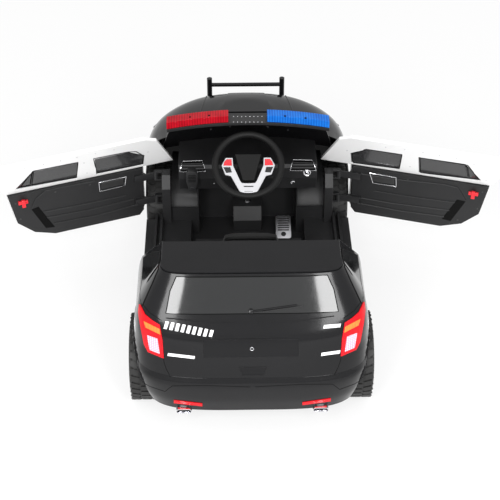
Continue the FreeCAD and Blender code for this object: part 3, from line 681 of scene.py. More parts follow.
class Skin:
    """The outer surface of some nodes, on which pieces are set."""

    near_enough: float = 0.002
    most_steps: int = 24

    def __init__(self, frame: Frame, *nodes: str) -> None:
        """Gathers the nodes' faces."""
        points: list[Vector] = []
        faces: list[tuple[int, ...]] = []
        for name in nodes:
            start = len(points)
            mesh = frame.node(name).data
            points += [vertex.co.copy() for vertex in mesh.vertices]
            faces += [tuple(start + i for i in polygon.vertices) for polygon in mesh.polygons]
        self.tree = BVHTree.FromPolygons(points, faces)

    def hit(self, aim: Aim, first: float, second: float) -> tuple[Vector, Vector]:
        """Where a look meets the surface.

        Args:
            aim: the way of looking.
            first: the look's first number.
            second: the look's second number.

        Returns:
            The place and the outward normal there.
        """
        start, way = aim.ray(first, second)
        place, normal, _, _ = self.tree.ray_cast(start, way)
        if place is None:
            place, normal, _, _ = self.tree.find_nearest(self._closest(start, way))
        if normal.dot(way) > 0:
            normal = -normal
        return place, normal

    def _closest(self, start: Vector, way: Vector) -> Vector:
        """The point of a look that comes nearest to the surface.

        Args:
            start: where the look starts.
            way: its direction.

        Returns:
            The point.
        """
        reach = 0.0
        for _ in range(self.most_steps):
            _, _, _, gap = self.tree.find_nearest(start + way * reach)
            if gap < self.near_enough:
                break
            reach += gap
        return start + way * reach


class Form:
    """Mesh builders."""

    weld: float = 1e-6

    @staticmethod
    def of(name: str, points: Sequence[Vector], faces: Sequence[Sequence[int]]) -> Mesh:
        """A mesh from points and faces, its normals turned outwards.

        Args:
            name: the mesh's name.
            points: its points.
            faces: its faces, as numbers of points.

        Returns:
            The mesh.
        """
        mesh = bpy.data.meshes.new(name)
        mesh.from_pydata([tuple(p) for p in points], [], [tuple(f) for f in faces])
        with reworked(mesh) as work:
            bmesh.ops.recalc_face_normals(work, faces=work.faces)
        return mesh

    @staticmethod
    def baked(carrier: Object) -> Mesh:
        """A carrier's evaluated form as a plain mesh; the carrier goes.

        Args:
            carrier: an object with a curve or a modifier.

        Returns:
            The mesh.
        """
        result = bpy.data.meshes.new_from_object(carrier.evaluated_get(bpy.context.evaluated_depsgraph_get()))
        bpy.data.objects.remove(carrier)
        return result

    @staticmethod
    def joined(name: str, meshes: Sequence[Mesh]) -> Mesh:
        """Several meshes as one.

        Args:
            name: the result's name.
            meshes: what is joined, in order.

        Returns:
            The joined mesh.
        """
        work = bmesh.new()
        for mesh in meshes:
            work.from_mesh(mesh)
        result = bpy.data.meshes.new(name)
        work.to_mesh(result)
        work.free()
        return result

    @staticmethod
    def mirrored(mesh: Mesh) -> Mesh:
        """The mesh on the car's other side.

        Args:
            mesh: a mesh in the car's frame.

        Returns:
            Its mirror image.
        """
        result = Form.joined(mesh.name + "_mirrored", [mesh])
        with reworked(result) as work:
            for vertex in work.verts:
                vertex.co.x = -vertex.co.x
            bmesh.ops.reverse_faces(work, faces=work.faces)
        return result

    @staticmethod
    def along(edge: Sequence[Pair], share: float) -> Pair:
        """The place at a share of an edge's stations.

        Args:
            edge: the edge's stations.
            share: nought at its first, one at its last.

        Returns:
            The place.
        """
        reach = share * (len(edge) - 1)
        k = min(int(reach), len(edge) - 2)
        return tuple(a + (b - a) * (reach - k) for a, b in zip(edge[k], edge[k + 1]))

    @staticmethod
    def draped(name: str, skin: Skin, aim: Aim, corners: Sequence[Pair], grid: tuple[int, int],
               proud: float, sink: float = 0.0006) -> Mesh:
        """A thin patch with four corners, in order round it, that follows a surface."""
        first, second, third, fourth = corners
        return Form.draped_between(name, skin, aim, (first, fourth), (second, third), grid, proud, sink)

    @staticmethod
    def draped_between(name: str, skin: Skin, aim: Aim, left: Sequence[Pair], right: Sequence[Pair],
                       grid: tuple[int, int], proud: float, sink: float = 0.0006) -> Mesh:
        """A thin patch between two edges that follows a surface.

        Args:
            name: the mesh's name.
            skin: the surface under it.
            aim: the way of looking that the edges are in.
            left: one edge, from its top.
            right: the other edge, with as many stations.
            grid: how many steps across and down.
            proud: how far it stands out.
            sink: how far its rim goes in.

        Returns:
            The closed patch.
        """
        steps, rows = grid
        outer: list[Vector] = []
        inner: list[Vector] = []
        for j in range(rows + 1):
            start, end = Form.along(left, j / rows), Form.along(right, j / rows)
            for i in range(steps + 1):
                place, normal = skin.hit(aim, *(a + (b - a) * i / steps for a, b in zip(start, end)))
                outer.append(place + normal * proud)
                inner.append(place - normal * sink)
        width = steps + 1
        count = len(outer)
        faces = [(j * width + i, j * width + i + 1, (j + 1) * width + i + 1, (j + 1) * width + i)
                 for j in range(rows) for i in range(steps)]
        back = [tuple(count + k for k in reversed(face)) for face in faces]
        rim = (list(range(width)) + [j * width + steps for j in range(1, rows + 1)]
               + [rows * width + i for i in range(steps - 1, -1, -1)] + [j * width for j in range(rows - 1, 0, -1)])
        walls = [(a, b, count + b, count + a) for a, b in zip(rim, rim[1:] + rim[:1])]
        return Form.of(name, outer + inner, faces + back + walls)

    @staticmethod
    def plate(name: str, outline: Sequence[Pair], holes: Sequence[Sequence[Pair]], low: float, high: float,
              look: LevelLook, edge: float) -> Mesh:
        """A flat plate with holes and rounded upper edges, across a look's axes.

        Args:
            name: the mesh's name.
            outline: the plate's outline in metres on the look's axes.
            holes: outlines of what is open in it.
            low: height of its underside along the look, backwards.
            high: height of its face.
            look: the axes.
            edge: rounding of the edges of its face.

        Returns:
            The plate.
        """
        curve = bpy.data.curves.new(name + "_outline", "CURVE")
        curve.dimensions = "2D"
        curve.fill_mode = "BOTH"
        curve.extrude = (high - low) / 2 - edge
        curve.bevel_depth = edge
        curve.bevel_resolution = 1
        curve.offset = -edge
        for loop in (outline, *holes):
            spline = curve.splines.new("POLY")
            spline.points.add(len(loop) - 1)
            for point, (first, second) in zip(spline.points, loop):
                point.co = (first, second, 0.0, 1.0)
            spline.use_cyclic_u = True
        shape = Form.baked(linked(name + "_carrier", curve))
        facing = -look.ahead
        middle = (low + high) / 2
        for vertex in shape.vertices:
            flat = vertex.co.copy()
            vertex.co = look.origin + look.across * flat.x + look.up * flat.y + facing * (flat.z + middle)
        with reworked(shape) as work:
            bmesh.ops.remove_doubles(work, verts=work.verts, dist=Form.weld)
            bmesh.ops.recalc_face_normals(work, faces=work.faces)
        return shape

    @staticmethod
    def turned(name: str, profile: Sequence[Pair], place: Vector, axis: Vector, steps: int = 32,
               ring: bool = False) -> Mesh:
        """A round form about an axis.

        Args:
            name: the mesh's name.
            profile: (radius, height) pairs.
            place: where height nought is.
            axis: the direction of height.
            steps: corners round it.
            ring: whether the profile closes on itself and leaves the middle open.

        Returns:
            The form, closed with flat ends if it isn't a ring.
        """
        side = axis.orthogonal().normalized()
        other = axis.cross(side).normalized()
        points = [
            place + axis * height + (side * math.cos(turn) + other * math.sin(turn)) * radius
            for radius, height in profile for turn in (math.tau * k / steps for k in range(steps))
        ]
        faces: list[tuple[int, ...]] = []
        count = len(profile)
        for level in range(count if ring else count - 1):
            low, high = level * steps, (level + 1) % count * steps
            for k in range(steps):
                after = (k + 1) % steps
                faces.append((low + k, low + after, high + after, high + k))
        if not ring:
            faces += [tuple(range(steps)), tuple(len(points) - steps + k for k in range(steps))]
        return Form.of(name, points, faces)

    @staticmethod
    def path(name: str, points: Sequence[Vector], closed: bool = False) -> Mesh:
        """A line of edges.

        Args:
            name: the mesh's name.
            points: its points.
            closed: whether the last joins the first.

        Returns:
            The line.
        """
        mesh = bpy.data.meshes.new(name)
        edges = [(i, i + 1) for i in range(len(points) - 1)] + ([(len(points) - 1, 0)] if closed else [])
        mesh.from_pydata([tuple(p) for p in points], edges, [])
        return mesh


class Recipe:
    """A Geometry Nodes tree with named inputs that grows fittings on points or lines."""

    def __init__(self, name: str) -> None:
        """Makes an empty tree with a geometry input and output."""
        self.tree = bpy.data.node_groups.new(name, "GeometryNodeTree")
        for label, way, kind in (("Geometry", "INPUT", "Geometry"), ("Geometry", "OUTPUT", "Geometry"),
                                 ("Finish", "INPUT", "Material")):
            self.tree.interface.new_socket(label, in_out=way, socket_type=f"NodeSocket{kind}")
        self.source = self.tree.nodes.new("NodeGroupInput")
        self.sink = self.tree.nodes.new("NodeGroupOutput")
        self.build()

    def size(self, name: str, value: float) -> NodeSocket:
        """Adds a named size input.

        Args:
            name: the input's name.
            value: its usual value.

        Returns:
            Its socket.
        """
        item = self.tree.interface.new_socket(name, in_out="INPUT", socket_type="NodeSocketFloat")
        item.default_value = value
        return self.source.outputs[name]

    def add(self, kind: str, settings: dict, inputs: dict) -> NodeSocket:
        """Adds any node.

        Args:
            kind: the node's type.
            settings: what is set on the node first.
            inputs: values or sockets by name or number.

        Returns:
            The node's first output.
        """
        node = new_node(self.tree, kind, settings)
        for key, value in inputs.items():
            if isinstance(value, NodeSocket):
                self.tree.links.new(value, node.inputs[key])
            else:
                node.inputs[key].default_value = value
        return node.outputs[0]

    def finish(self, geometry: NodeSocket) -> None:
        """Closes the tree with real geometry in the given finish."""
        real = self.add("GeometryNodeRealizeInstances", {}, {"Geometry": geometry})
        dressed = self.add("GeometryNodeSetMaterial", {}, {"Geometry": real, "Material": self.source.outputs["Finish"]})
        self.tree.links.new(dressed, self.sink.inputs[0])

    def way(self, name: str) -> NodeSocket:
        """A direction that the points carry."""
        return self.add("GeometryNodeInputNamedAttribute", {"data_type": "FLOAT_VECTOR"}, {"Name": name})

    def turned_to_facing(self) -> NodeSocket:
        """The rotation that turns Z to the points' facing attribute."""
        return self.add("FunctionNodeAlignRotationToVector", {"axis": "Z"}, {"Vector": self.way("facing")})

    def set_on_points(self, fitting: NodeSocket, turn: NodeSocket) -> None:
        """Closes the tree with the fitting on every point, turned.

        Args:
            fitting: the geometry that is set.
            turn: its rotation.
        """
        self.finish(self.add("GeometryNodeInstanceOnPoints", {}, {
            "Points": self.source.outputs["Geometry"], "Instance": fitting, "Rotation": turn,
        }))

    def build(self) -> None:
        """Builds the tree; each recipe has its own way."""
        raise NotImplementedError

    def grown(self, mesh: Mesh, finish: Finish, **sizes: float) -> Mesh:
        """Runs the tree on a mesh.

        Args:
            mesh: the points or lines.
            finish: what the result is dressed in.
            sizes: values of the named inputs, spelt with underscores.

        Returns:
            The result as a plain mesh.
        """
        carrier = linked("recipe_carrier", mesh)
        modifier = carrier.modifiers.new("recipe", "NODES")
        modifier.node_group = self.tree
        values = {key.replace("_", " "): value for key, value in sizes.items()} | {"Finish": finish.material()}
        for item in self.tree.interface.items_tree:
            if item.in_out == "INPUT" and item.name in values:
                modifier[item.identifier] = values[item.name]
        return Form.baked(carrier)


class HeadRecipe(Recipe):
    """Screw and rivet heads on points that know which way they face."""

    top_share: float = 0.62
    corners: int = 16

    def build(self) -> None:
        """Instances a chamfered head on every point."""
        radius = self.size("Radius", 0.003)
        height = self.size("Height", 0.0012)
        shoulder = self.add("ShaderNodeMath", {"operation": "MULTIPLY"}, {0: radius, 1: self.top_share})
        head = self.add("GeometryNodeMeshCone", {}, {
            "Vertices": self.corners, "Side Segments": 2, "Radius Top": shoulder, "Radius Bottom": radius,
            "Depth": height,
        })
        self.set_on_points(head, self.turned_to_facing())


class SlatRecipe(Recipe):
    """Short bars on points that know which way they face and run."""

    def build(self) -> None:
        """Instances a bar on every point."""
        length = self.size("Length", 0.02)
        width = self.size("Width", 0.002)
        depth = self.size("Depth", 0.001)
        size = self.add("ShaderNodeCombineXYZ", {}, {0: length, 1: width, 2: depth})
        bar = self.add("GeometryNodeMeshCube", {}, {"Size": size})
        turn = self.add("FunctionNodeAlignRotationToVector", {"axis": "X", "pivot_axis": "Z"}, {
            "Rotation": self.turned_to_facing(), "Vector": self.way("run"),
        })
        self.set_on_points(bar, turn)


class CordRecipe(Recipe):
    """Seams, seals and beads along lines."""

    corners: int = 8

    def build(self) -> None:
        """Sweeps a circle along every line."""
        radius = self.size("Radius", 0.001)
        line = self.add("GeometryNodeMeshToCurve", {}, {"Mesh": self.source.outputs["Geometry"]})
        ring = self.add("GeometryNodeCurvePrimitiveCircle", {"mode": "RADIUS"}, {
            "Resolution": self.corners, "Radius": radius,
        })
        self.finish(self.add("GeometryNodeCurveToMesh", {}, {
            "Curve": line, "Profile Curve": ring, "Fill Caps": True,
        }))


@dataclass
class Workshop:
    """Makes finished pieces: links, smooths, dresses and seats them."""

    frame: Frame
    made: list[str] = field(default_factory=list)
    skins: dict[tuple[str, ...], Skin] = field(default_factory=dict)
    aim_from_rear_axle: Triple = (0.0029, 0.3512, 0.2619)
    head_sink: float = 0.0004
    weld: float = 2e-6
    flat_deg: float = 0.3

    def __post_init__(self) -> None:
        """Makes the shared recipes and the photograph's line of sight."""
        self.heads = HeadRecipe("screw_heads")
        self.slats = SlatRecipe("short_bars")
        self.cords = CordRecipe("swept_lines")
        across, ahead, up = self.aim_from_rear_axle
        self.sight = Viewpoint(Vector((across, self.frame.middle("tyre_rear_left").y + ahead, up)))

    def skin(self, *nodes: str) -> Skin:
        """The surface of some nodes, gathered once.

        Args:
            nodes: the CAD nodes' names.

        Returns:
            Their skin.
        """
        if nodes not in self.skins:
            self.skins[nodes] = Skin(self.frame, *nodes)
        return self.skins[nodes]

    def piece(self, name: str, mesh: Mesh, body: str, slot: str, finish: Finish,
              replaces: Sequence[str] = (), sharp_deg: float = 35.0) -> Object:
        """Turns a mesh into a piece of the car.

        Args:
            name: the piece's name.
            mesh: its mesh, in the car's frame.
            body: the CAD body that it rides on.
            slot: the record's material slot.
            finish: what it is dressed in.
            replaces: the CAD nodes that it stands for.
            sharp_deg: edges that turn more than this stay crisp.

        Returns:
            The new object.
        """
        piece = linked(name, mesh)
        mesh.materials.clear()
        mesh.materials.append(finish.material())
        mesh.shade_smooth()
        mesh.set_sharp_from_angle(angle=math.radians(sharp_deg))
        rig.ride(piece, body)
        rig.slot(piece, slot)
        if replaces:
            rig.replaces(piece, *replaces)
        self.made.append(name)
        LOG.info("%s rides on %s: %d faces", name, body, len(mesh.polygons))
        return piece

    def smoothed(self, node: str, finish: Finish, bevel: float = 0.0, sharp_deg: float = 28.0) -> Object:
        """A merged, smooth-shaded copy of a CAD node that stands for it.

        Args:
            node: the CAD node.
            finish: what the copy is dressed in.
            bevel: width of the rounding on its crisp edges.
            sharp_deg: edges that turn more than this are rounded or stay crisp.

        Returns:
            The piece.
        """
        mesh = self.frame.node(node).data.copy()
        with reworked(mesh) as work:
            bmesh.ops.remove_doubles(work, verts=work.verts, dist=self.weld)
            bmesh.ops.dissolve_limit(work, angle_limit=math.radians(self.flat_deg), verts=work.verts,
                                     edges=work.edges, delimit={"NORMAL"})
        piece = self.piece("look_" + node, mesh, self.frame.body_of[node], self.frame.slot_of[node], finish,
                           (node,), sharp_deg)
        if bevel > 0.0:
            rounding = piece.modifiers.new("edge_rounding", "BEVEL")
            rounding.width = bevel
            rounding.segments = 2
            rounding.limit_method = "ANGLE"
            rounding.angle_limit = math.radians(sharp_deg)
            rounding.harden_normals = True
        return piece

    def screws(self, name: str, skin: Skin, aim: Aim, places: Sequence[Pair], body: str, slot: str,
               finish: Finish, radius: float, height: float) -> None:
        """Heads set on a surface.

        Args:
            name: the piece's name.
            skin: what carries them.
            aim: the look that the places are in.
            places: where they sit.
            body: the body they ride on.
            slot: the record's slot.
            finish: their finish.
            radius: radius of a head.
            height: how far a head stands out.
        """
        hits = [skin.hit(aim, *place) for place in places]
        self.heads_at(name, [place for place, _ in hits], [normal for _, normal in hits], body, slot, finish,
                      radius, height)

    def heads_at(self, name: str, places: Sequence[Vector], facing: Sequence[Vector], body: str, slot: str,
                 finish: Finish, radius: float, height: float) -> None:
        """Heads at given places, each sunk a little into what carries it.

        Args:
            name: the piece's name.
            places: where they sit.
            facing: which way each faces.
            body: the body they ride on.
            slot: the record's slot.
            finish: their finish.
            radius: radius of a head.
            height: how far a head stands out.
        """
        sunk = [place - normal * self.head_sink for place, normal in zip(places, facing)]
        points = self._aimed_points(sunk, facing=facing)
        mesh = self.heads.grown(points, finish, Radius=radius, Height=height + self.head_sink)
        self.piece(name, mesh, body, slot, finish)

    @staticmethod
    def drawn_in(left: Pair, right: Pair, gap: float) -> tuple[Pair, Pair]:
        """The ends of a bar that stops short of its frame on both sides."""
        return (left[0] + gap, left[1]), (right[0] - gap, right[1])

    @staticmethod
    def _aimed_points(places: Sequence[Vector], **ways: Sequence[Vector]) -> Mesh:
        """Points that carry named directions.

        Args:
            places: the points.
            ways: a direction for every point, by its attribute's name.

        Returns:
            The points as a mesh.
        """
        points = Form.path("fitting_places", places)
        for key, vectors in ways.items():
            points.attributes.new(key, "FLOAT_VECTOR", "POINT")
            points.attributes[key].data.foreach_set("vector", [c for vector in vectors for c in vector])
        return points

    def bars(self, places: Sequence[Vector], facing: Sequence[Vector], run: Sequence[Vector], finish: Finish,
             size: Triple) -> Mesh:
        """Short bars.

        Args:
            places: their middles.
            facing: which way each faces.
            run: which way each runs.
            finish: their finish.
            size: length, width and depth of one.

        Returns:
            All the bars as one mesh.
        """
        length, width, depth = size
        points = self._aimed_points(places, facing=facing, run=run)
        return self.slats.grown(points, finish, Length=length, Width=width, Depth=depth)

    def both_sides(self, name: str, left: Mesh, slot: str, finish: Finish) -> None:
        """A chassis piece made of a left mesh and its mirror image."""
        self.piece(name, Form.joined(name, [left, Form.mirrored(left)]), "chassis", slot, finish)

    def line_on(self, skin: Skin, aim: Aim, corners: Sequence[Pair], closed: bool = False, lift: float = 0.0,
                steps: int = 10) -> Mesh:
        """A line of edges laid on a surface.

        Args:
            skin: what carries it.
            aim: the look that the corners are in.
            corners: its corners.
            closed: whether it comes back to its start.
            lift: how far it lies above the surface.
            steps: points on each run.

        Returns:
            The line.
        """
        ends = list(corners[1:]) + ([corners[0]] if closed else [])
        places: list[Vector] = []
        for start, end in zip(corners, ends):
            for k in range(steps):
                share = k / steps
                place, normal = skin.hit(aim, *(a + (b - a) * share for a, b in zip(start, end)))
                places.append(place + normal * lift)
        if not closed:
            place, normal = skin.hit(aim, *corners[-1])
            places.append(place + normal * lift)
        return Form.path("line", places, closed)

    def seam(self, name: str, lines: Sequence[Mesh], body: str, finish: Finish, radius: float,
             slot: str = "black_moulding") -> None:
        """Sweeps lines into one piece of seams, seals or beads."""
        mesh = self.cords.grown(Form.joined(name, lines), finish, Radius=radius)
        self.piece(name, mesh, body, slot, finish)

    def twin_seams(self, name: str, lines: Sequence[Mesh], finish: Finish, radius: float,
                   slot: str = "black_moulding") -> None:
        """A chassis seam along left lines and their mirror images."""
        left = Form.joined(name, lines)
        self.seam(name, [left, Form.mirrored(left)], "chassis", finish, radius, slot)


@dataclass(frozen=True)
class SoftBox:
    """A rectangular soft lamp."""

    name: str
    place: Triple
    aim: Triple
    size: Pair
    power: float

    def build(self) -> None:
        """Hangs the lamp and turns it to its aim."""
        data = bpy.data.lights.new(self.name, "AREA")
        data.shape = "RECTANGLE"
        data.size, data.size_y = self.size
        data.energy = self.power
        place = Vector(self.place)
        turn = (Vector(self.aim) - place).to_track_quat("-Z", "Y").to_matrix().to_4x4()
        linked(self.name, data).matrix_world = Matrix.Translation(place) @ turn


@dataclass
class Studio:
    """Plain pale floor, soft light and the photograph's camera."""

    sight: Viewpoint
    sensor: float = 36.0
    floor_half: float = 14.0
    floor_paper: float = 0.93
    floor_lift: float = 0.72
    floor_glossy: float = 0.6
    air_low: float = 0.72
    lamps: tuple[SoftBox, ...] = (
        SoftBox("overhead_box", (0.0, 0.0, 3.6), (0.0, 0.0, 0.2), (2.4, 2.4), 15.0),
        SoftBox("left_strip", (-1.00, -2.95, 2.05), (-0.2, -0.5, 0.45), (0.84, 1.9), 66.0),
        SoftBox("right_strip", (0.98, -2.95, 2.05), (0.2, -0.5, 0.45), (0.83, 1.9), 64.0),
        SoftBox("far_left_box", (-2.6, 3.4, 2.2), (0.0, 0.2, 0.4), (1.6, 1.2), 10.0),
        SoftBox("far_right_box", (2.6, 3.4, 2.2), (0.0, 0.2, 0.4), (1.6, 1.2), 10.0),
    )

    def build(self) -> None:
        """Sets the camera, the floor, the lamps and the world."""
        self._camera()
        self._floor()
        for lamp in self.lamps:
            lamp.build()
        self._world()
        bpy.context.scene.view_settings.view_transform = "Standard"

    def _camera(self) -> None:
        """Places the camera behind and above the car."""
        right, up, ahead = self.sight.axes()
        data = bpy.data.cameras.new("viewpoint")
        data.sensor_width = self.sensor
        data.lens = self.sight.focal_px / self.sight.frame_px * self.sensor
        camera = linked("viewpoint", data)
        turn = Matrix((right, up, -ahead)).transposed().to_4x4()
        camera.matrix_world = Matrix.Translation(self.sight.aim - ahead * self.sight.distance) @ turn
        bpy.context.scene.camera = camera

    def _floor(self) -> None:
        """A wide pale floor that keeps the car's shadow."""
        half = self.floor_half
        mesh = bpy.data.meshes.new("studio_floor")
        mesh.from_pydata([(-half, -half, 0), (half, -half, 0), (half, half, 0), (-half, half, 0)], [], [(0, 1, 2, 3)])
        mesh.materials.append(self._floor_material())
        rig.stage(linked("studio_floor", mesh))

    def _floor_material(self) -> Material:
        """Matt white paper that is lifted towards white where it is looked at, and keeps a light shadow."""
        graph = ShaderGraph("pale_floor")
        seen = graph.add("ShaderNodeLightPath", {}, {}, "Is Camera Ray")
        rays = seen.socket.node.outputs
        glossy, clear = Signal(graph, rays["Is Glossy Ray"]), Signal(graph, rays["Is Transmission Ray"])
        paper = graph.add("ShaderNodeBsdfDiffuse", {}, {"Color": (self.floor_paper,) * 3})
        white = graph.add("ShaderNodeEmission", {}, {"Color": (1.0, 1.0, 1.0), "Strength": 1.0})
        share = (seen + glossy * self.floor_glossy + clear).clamped() * self.floor_lift
        mixed = graph.add("ShaderNodeMixShader", {}, {0: share, 1: paper, 2: white})
        graph.tree.links.new(mixed.socket, graph.output.inputs[0])
        return graph.material

    def _world(self) -> None:
        """Soft white surroundings, full white to the camera, in glossy and in clear things."""
        world = bpy.data.worlds.new("studio_air")
        bpy.context.scene.world = world
        world.use_nodes = True
        tree = world.node_tree
        background = tree.nodes["Background"]
        background.inputs[0].default_value = (1.0, 1.0, 1.0, 1.0)
        path = new_node(tree, "ShaderNodeLightPath", {})
        seen: NodeSocket = path.outputs["Is Camera Ray"]
        for name in ("Is Glossy Ray", "Is Transmission Ray"):
            either = new_node(tree, "ShaderNodeMath", {"operation": "MAXIMUM"})
            tree.links.new(seen, either.inputs[0])
            tree.links.new(path.outputs[name], either.inputs[1])
            seen = either.outputs[0]
        strength = new_node(tree, "ShaderNodeMapRange", {})
        strength.inputs["To Min"].default_value = self.air_low
        strength.inputs["To Max"].default_value = 1.0
        tree.links.new(seen, strength.inputs["Value"])
        tree.links.new(strength.outputs[0], background.inputs[1])


@dataclass
class Bodywork:
    """Every CAD node with its finish, smoothed where a curved or crisp form shows."""

    shop: Workshop
    edge: float = 0.0012
    made_elsewhere: tuple[str, ...] = (
        "steering_spokes", "tyre_front_left", "tyre_front_right", "tyre_rear_left", "tyre_rear_right")

    def build(self) -> None:
        """Dresses all nodes that no other piece stands for."""
        frame = self.shop.frame
        for node in frame.data["nodes"]:
            if node not in self.made_elsewhere:
                finish = FINISH_OF_NODE.get(node, FINISH_OF_SLOT[frame.slot_of[node]])
                self.shop.smoothed(node, finish, self.edge)


@dataclass
class TailGlass:
    """Rear window, quarter windows and their dark seals."""

    shop: Workshop
    window_left: Loop = ((-0.214, 0.5015), (-0.232, 0.468), (-0.2445, 0.4165))
    quarter_front: Loop = ((-0.372, 0.5015), (-0.334, 0.468), (-0.292, 0.4165))
    quarter_rear: Loop = ((-0.452, 0.5015), (-0.478, 0.468), (-0.512, 0.4165))
    proud: float = 0.0016
    seal_lift: float = 0.0003
    seal_radius: float = 0.0018

    def build(self) -> None:
        """Lays the three windows on the rear shell."""
        shop = self.shop
        skin = shop.skin("rear_shell")
        right_up = flipped(self.window_left)
        window = Form.draped_between("rear_window", skin, FROM_BEHIND, self.window_left, right_up[::-1], (36, 10),
                                     self.proud)
        shop.piece("rear_window", window, "chassis", "tinted_glass", DARK_GLASS)
        quarter = Form.draped_between("quarter", skin, FROM_LEFT, self.quarter_front, self.quarter_rear, (16, 10),
                                      self.proud)
        shop.both_sides("quarter_windows", quarter, "tinted_glass", DARK_GLASS)
        seal = shop.line_on(skin, FROM_BEHIND, [*self.window_left, *right_up], True, self.seal_lift, 12)
        shop.seam("rear_window_seal", [seal], "chassis", SEAM_AND_SHADE_BLACK, self.seal_radius)
        side = shop.line_on(skin, FROM_LEFT, [*self.quarter_front, *reversed(self.quarter_rear)], True, self.seal_lift)
        shop.twin_seams("quarter_window_seals", [side], SEAM_AND_SHADE_BLACK, self.seal_radius)


@dataclass
class TailLamps:
    """Tail lamps with prism block and orange band, reflectors and exhaust tips."""

    shop: Workshop
    outer_edge: Loop = ((139.8, 304.2), (138.8, 312.0), (140.0, 320.0), (141.4, 328.0), (144.4, 343.6),
                                    (148.4, 351.6))
    inner_edge: Loop = ((140.8, 304.8), (145.2, 314.0), (152.6, 320.2), (159.8, 324.6), (162.6, 340.0),
                                    (164.0, 358.0))
    prism_corners: Loop = ((147.8, 334.6), (158.0, 338.2), (160.2, 353.2), (150.4, 349.2))
    orange_corners: Loop = ((144.4, 320.8), (159.8, 328.6), (160.8, 334.4), (146.4, 327.2))
    reflector_corners: Loop = ((174.0, 399.8), (202.4, 403.2), (202.4, 405.8), (174.0, 402.6))
    lens_proud: float = 0.003
    lens_sink: float = 0.001
    block_start: float = 0.001
    block_proud: float = 0.0042
    reflector_proud: float = 0.0022
    tip_x: float = 0.201
    tip_z: float = 0.101
    tip_half: Pair = (0.0235, 0.0088)
    tip_wall: float = 0.0026
    tip_span: Pair = (0.56, 0.624)
    tip_edge: float = 0.0008
    bore_length: float = 0.03
    arc_steps: int = 8

    def build(self) -> None:
        """Builds the left pieces and mirrors them."""
        shop = self.shop
        shell, bumper = shop.skin("rear_shell"), shop.skin("rear_bumper")
        lens = Form.draped_between("lamp_lens", shell, shop.sight, self.outer_edge, self.inner_edge, (12, 30),
                                   self.lens_proud, self.lens_sink)
        shop.both_sides("tail_lamp_lenses", lens, "red_lens", RED_LENS)
        for word, corners, finish in (
            ("prism", self.prism_corners, PRISM_BLOCK), ("orange", self.orange_corners, ORANGE_LENS),
        ):
            block = Form.draped(f"lamp_{word}", shell, shop.sight, corners, (6, 6), self.block_proud,
                                -self.block_start)
            shop.both_sides(f"tail_lamp_{word}_blocks", block, "red_lens", finish)
        # The reflectors take the red lens finish, with its painted rib highlights and painted glow, though a reflector
        # is no lamp.
        reflector = Form.draped("reflector", bumper, shop.sight, self.reflector_corners, (12, 2),
                                self.reflector_proud)
        shop.both_sides("rear_reflectors", reflector, "red_lens", RED_LENS)
        self._tips()

    def _rounded(self, half: Pair) -> list[Pair]:
        """A rounded slot outline about the left tip's middle.

        Args:
            half: half its width and height.

        Returns:
            The outline.
        """
        wide, tall = half
        arc = [math.pi / 2 + math.pi * k / self.arc_steps for k in range(self.arc_steps + 1)]
        left = [(-wide + tall + tall * math.cos(a), tall * math.sin(a)) for a in arc]
        ring = left + [(-a, -b) for a, b in left]
        return [(a - self.tip_x, b + self.tip_z) for a, b in ring]

    def _tips(self) -> None:
        """Bright oval tail pipes under the bumper, each closed deep in its bore by a near-black plug of painted shade.
        """
        shop, (near, far) = self.shop, self.tip_span
        look = LevelLook(Vector((0, 0, 0)), RIGHTWARD, UPWARD, FORWARD)
        wide, tall = self.tip_half
        bore = self._rounded((wide - self.tip_wall, tall - self.tip_wall))
        pipe = Form.plate("tail_pipe", self._rounded(self.tip_half), [bore], near, far, look, self.tip_edge)
        shop.both_sides("exhaust_tips", pipe, "chrome_trim", CHROME)
        # Painted shade: a near-black plug deep in the bore stands for the shade inside the pipe.
        back = Form.plate("pipe_dark", bore, [], near, near + self.bore_length, look, self.tip_edge / 4)
        shop.both_sides("exhaust_bores", back, "black_moulding", SEAM_AND_SHADE_BLACK)


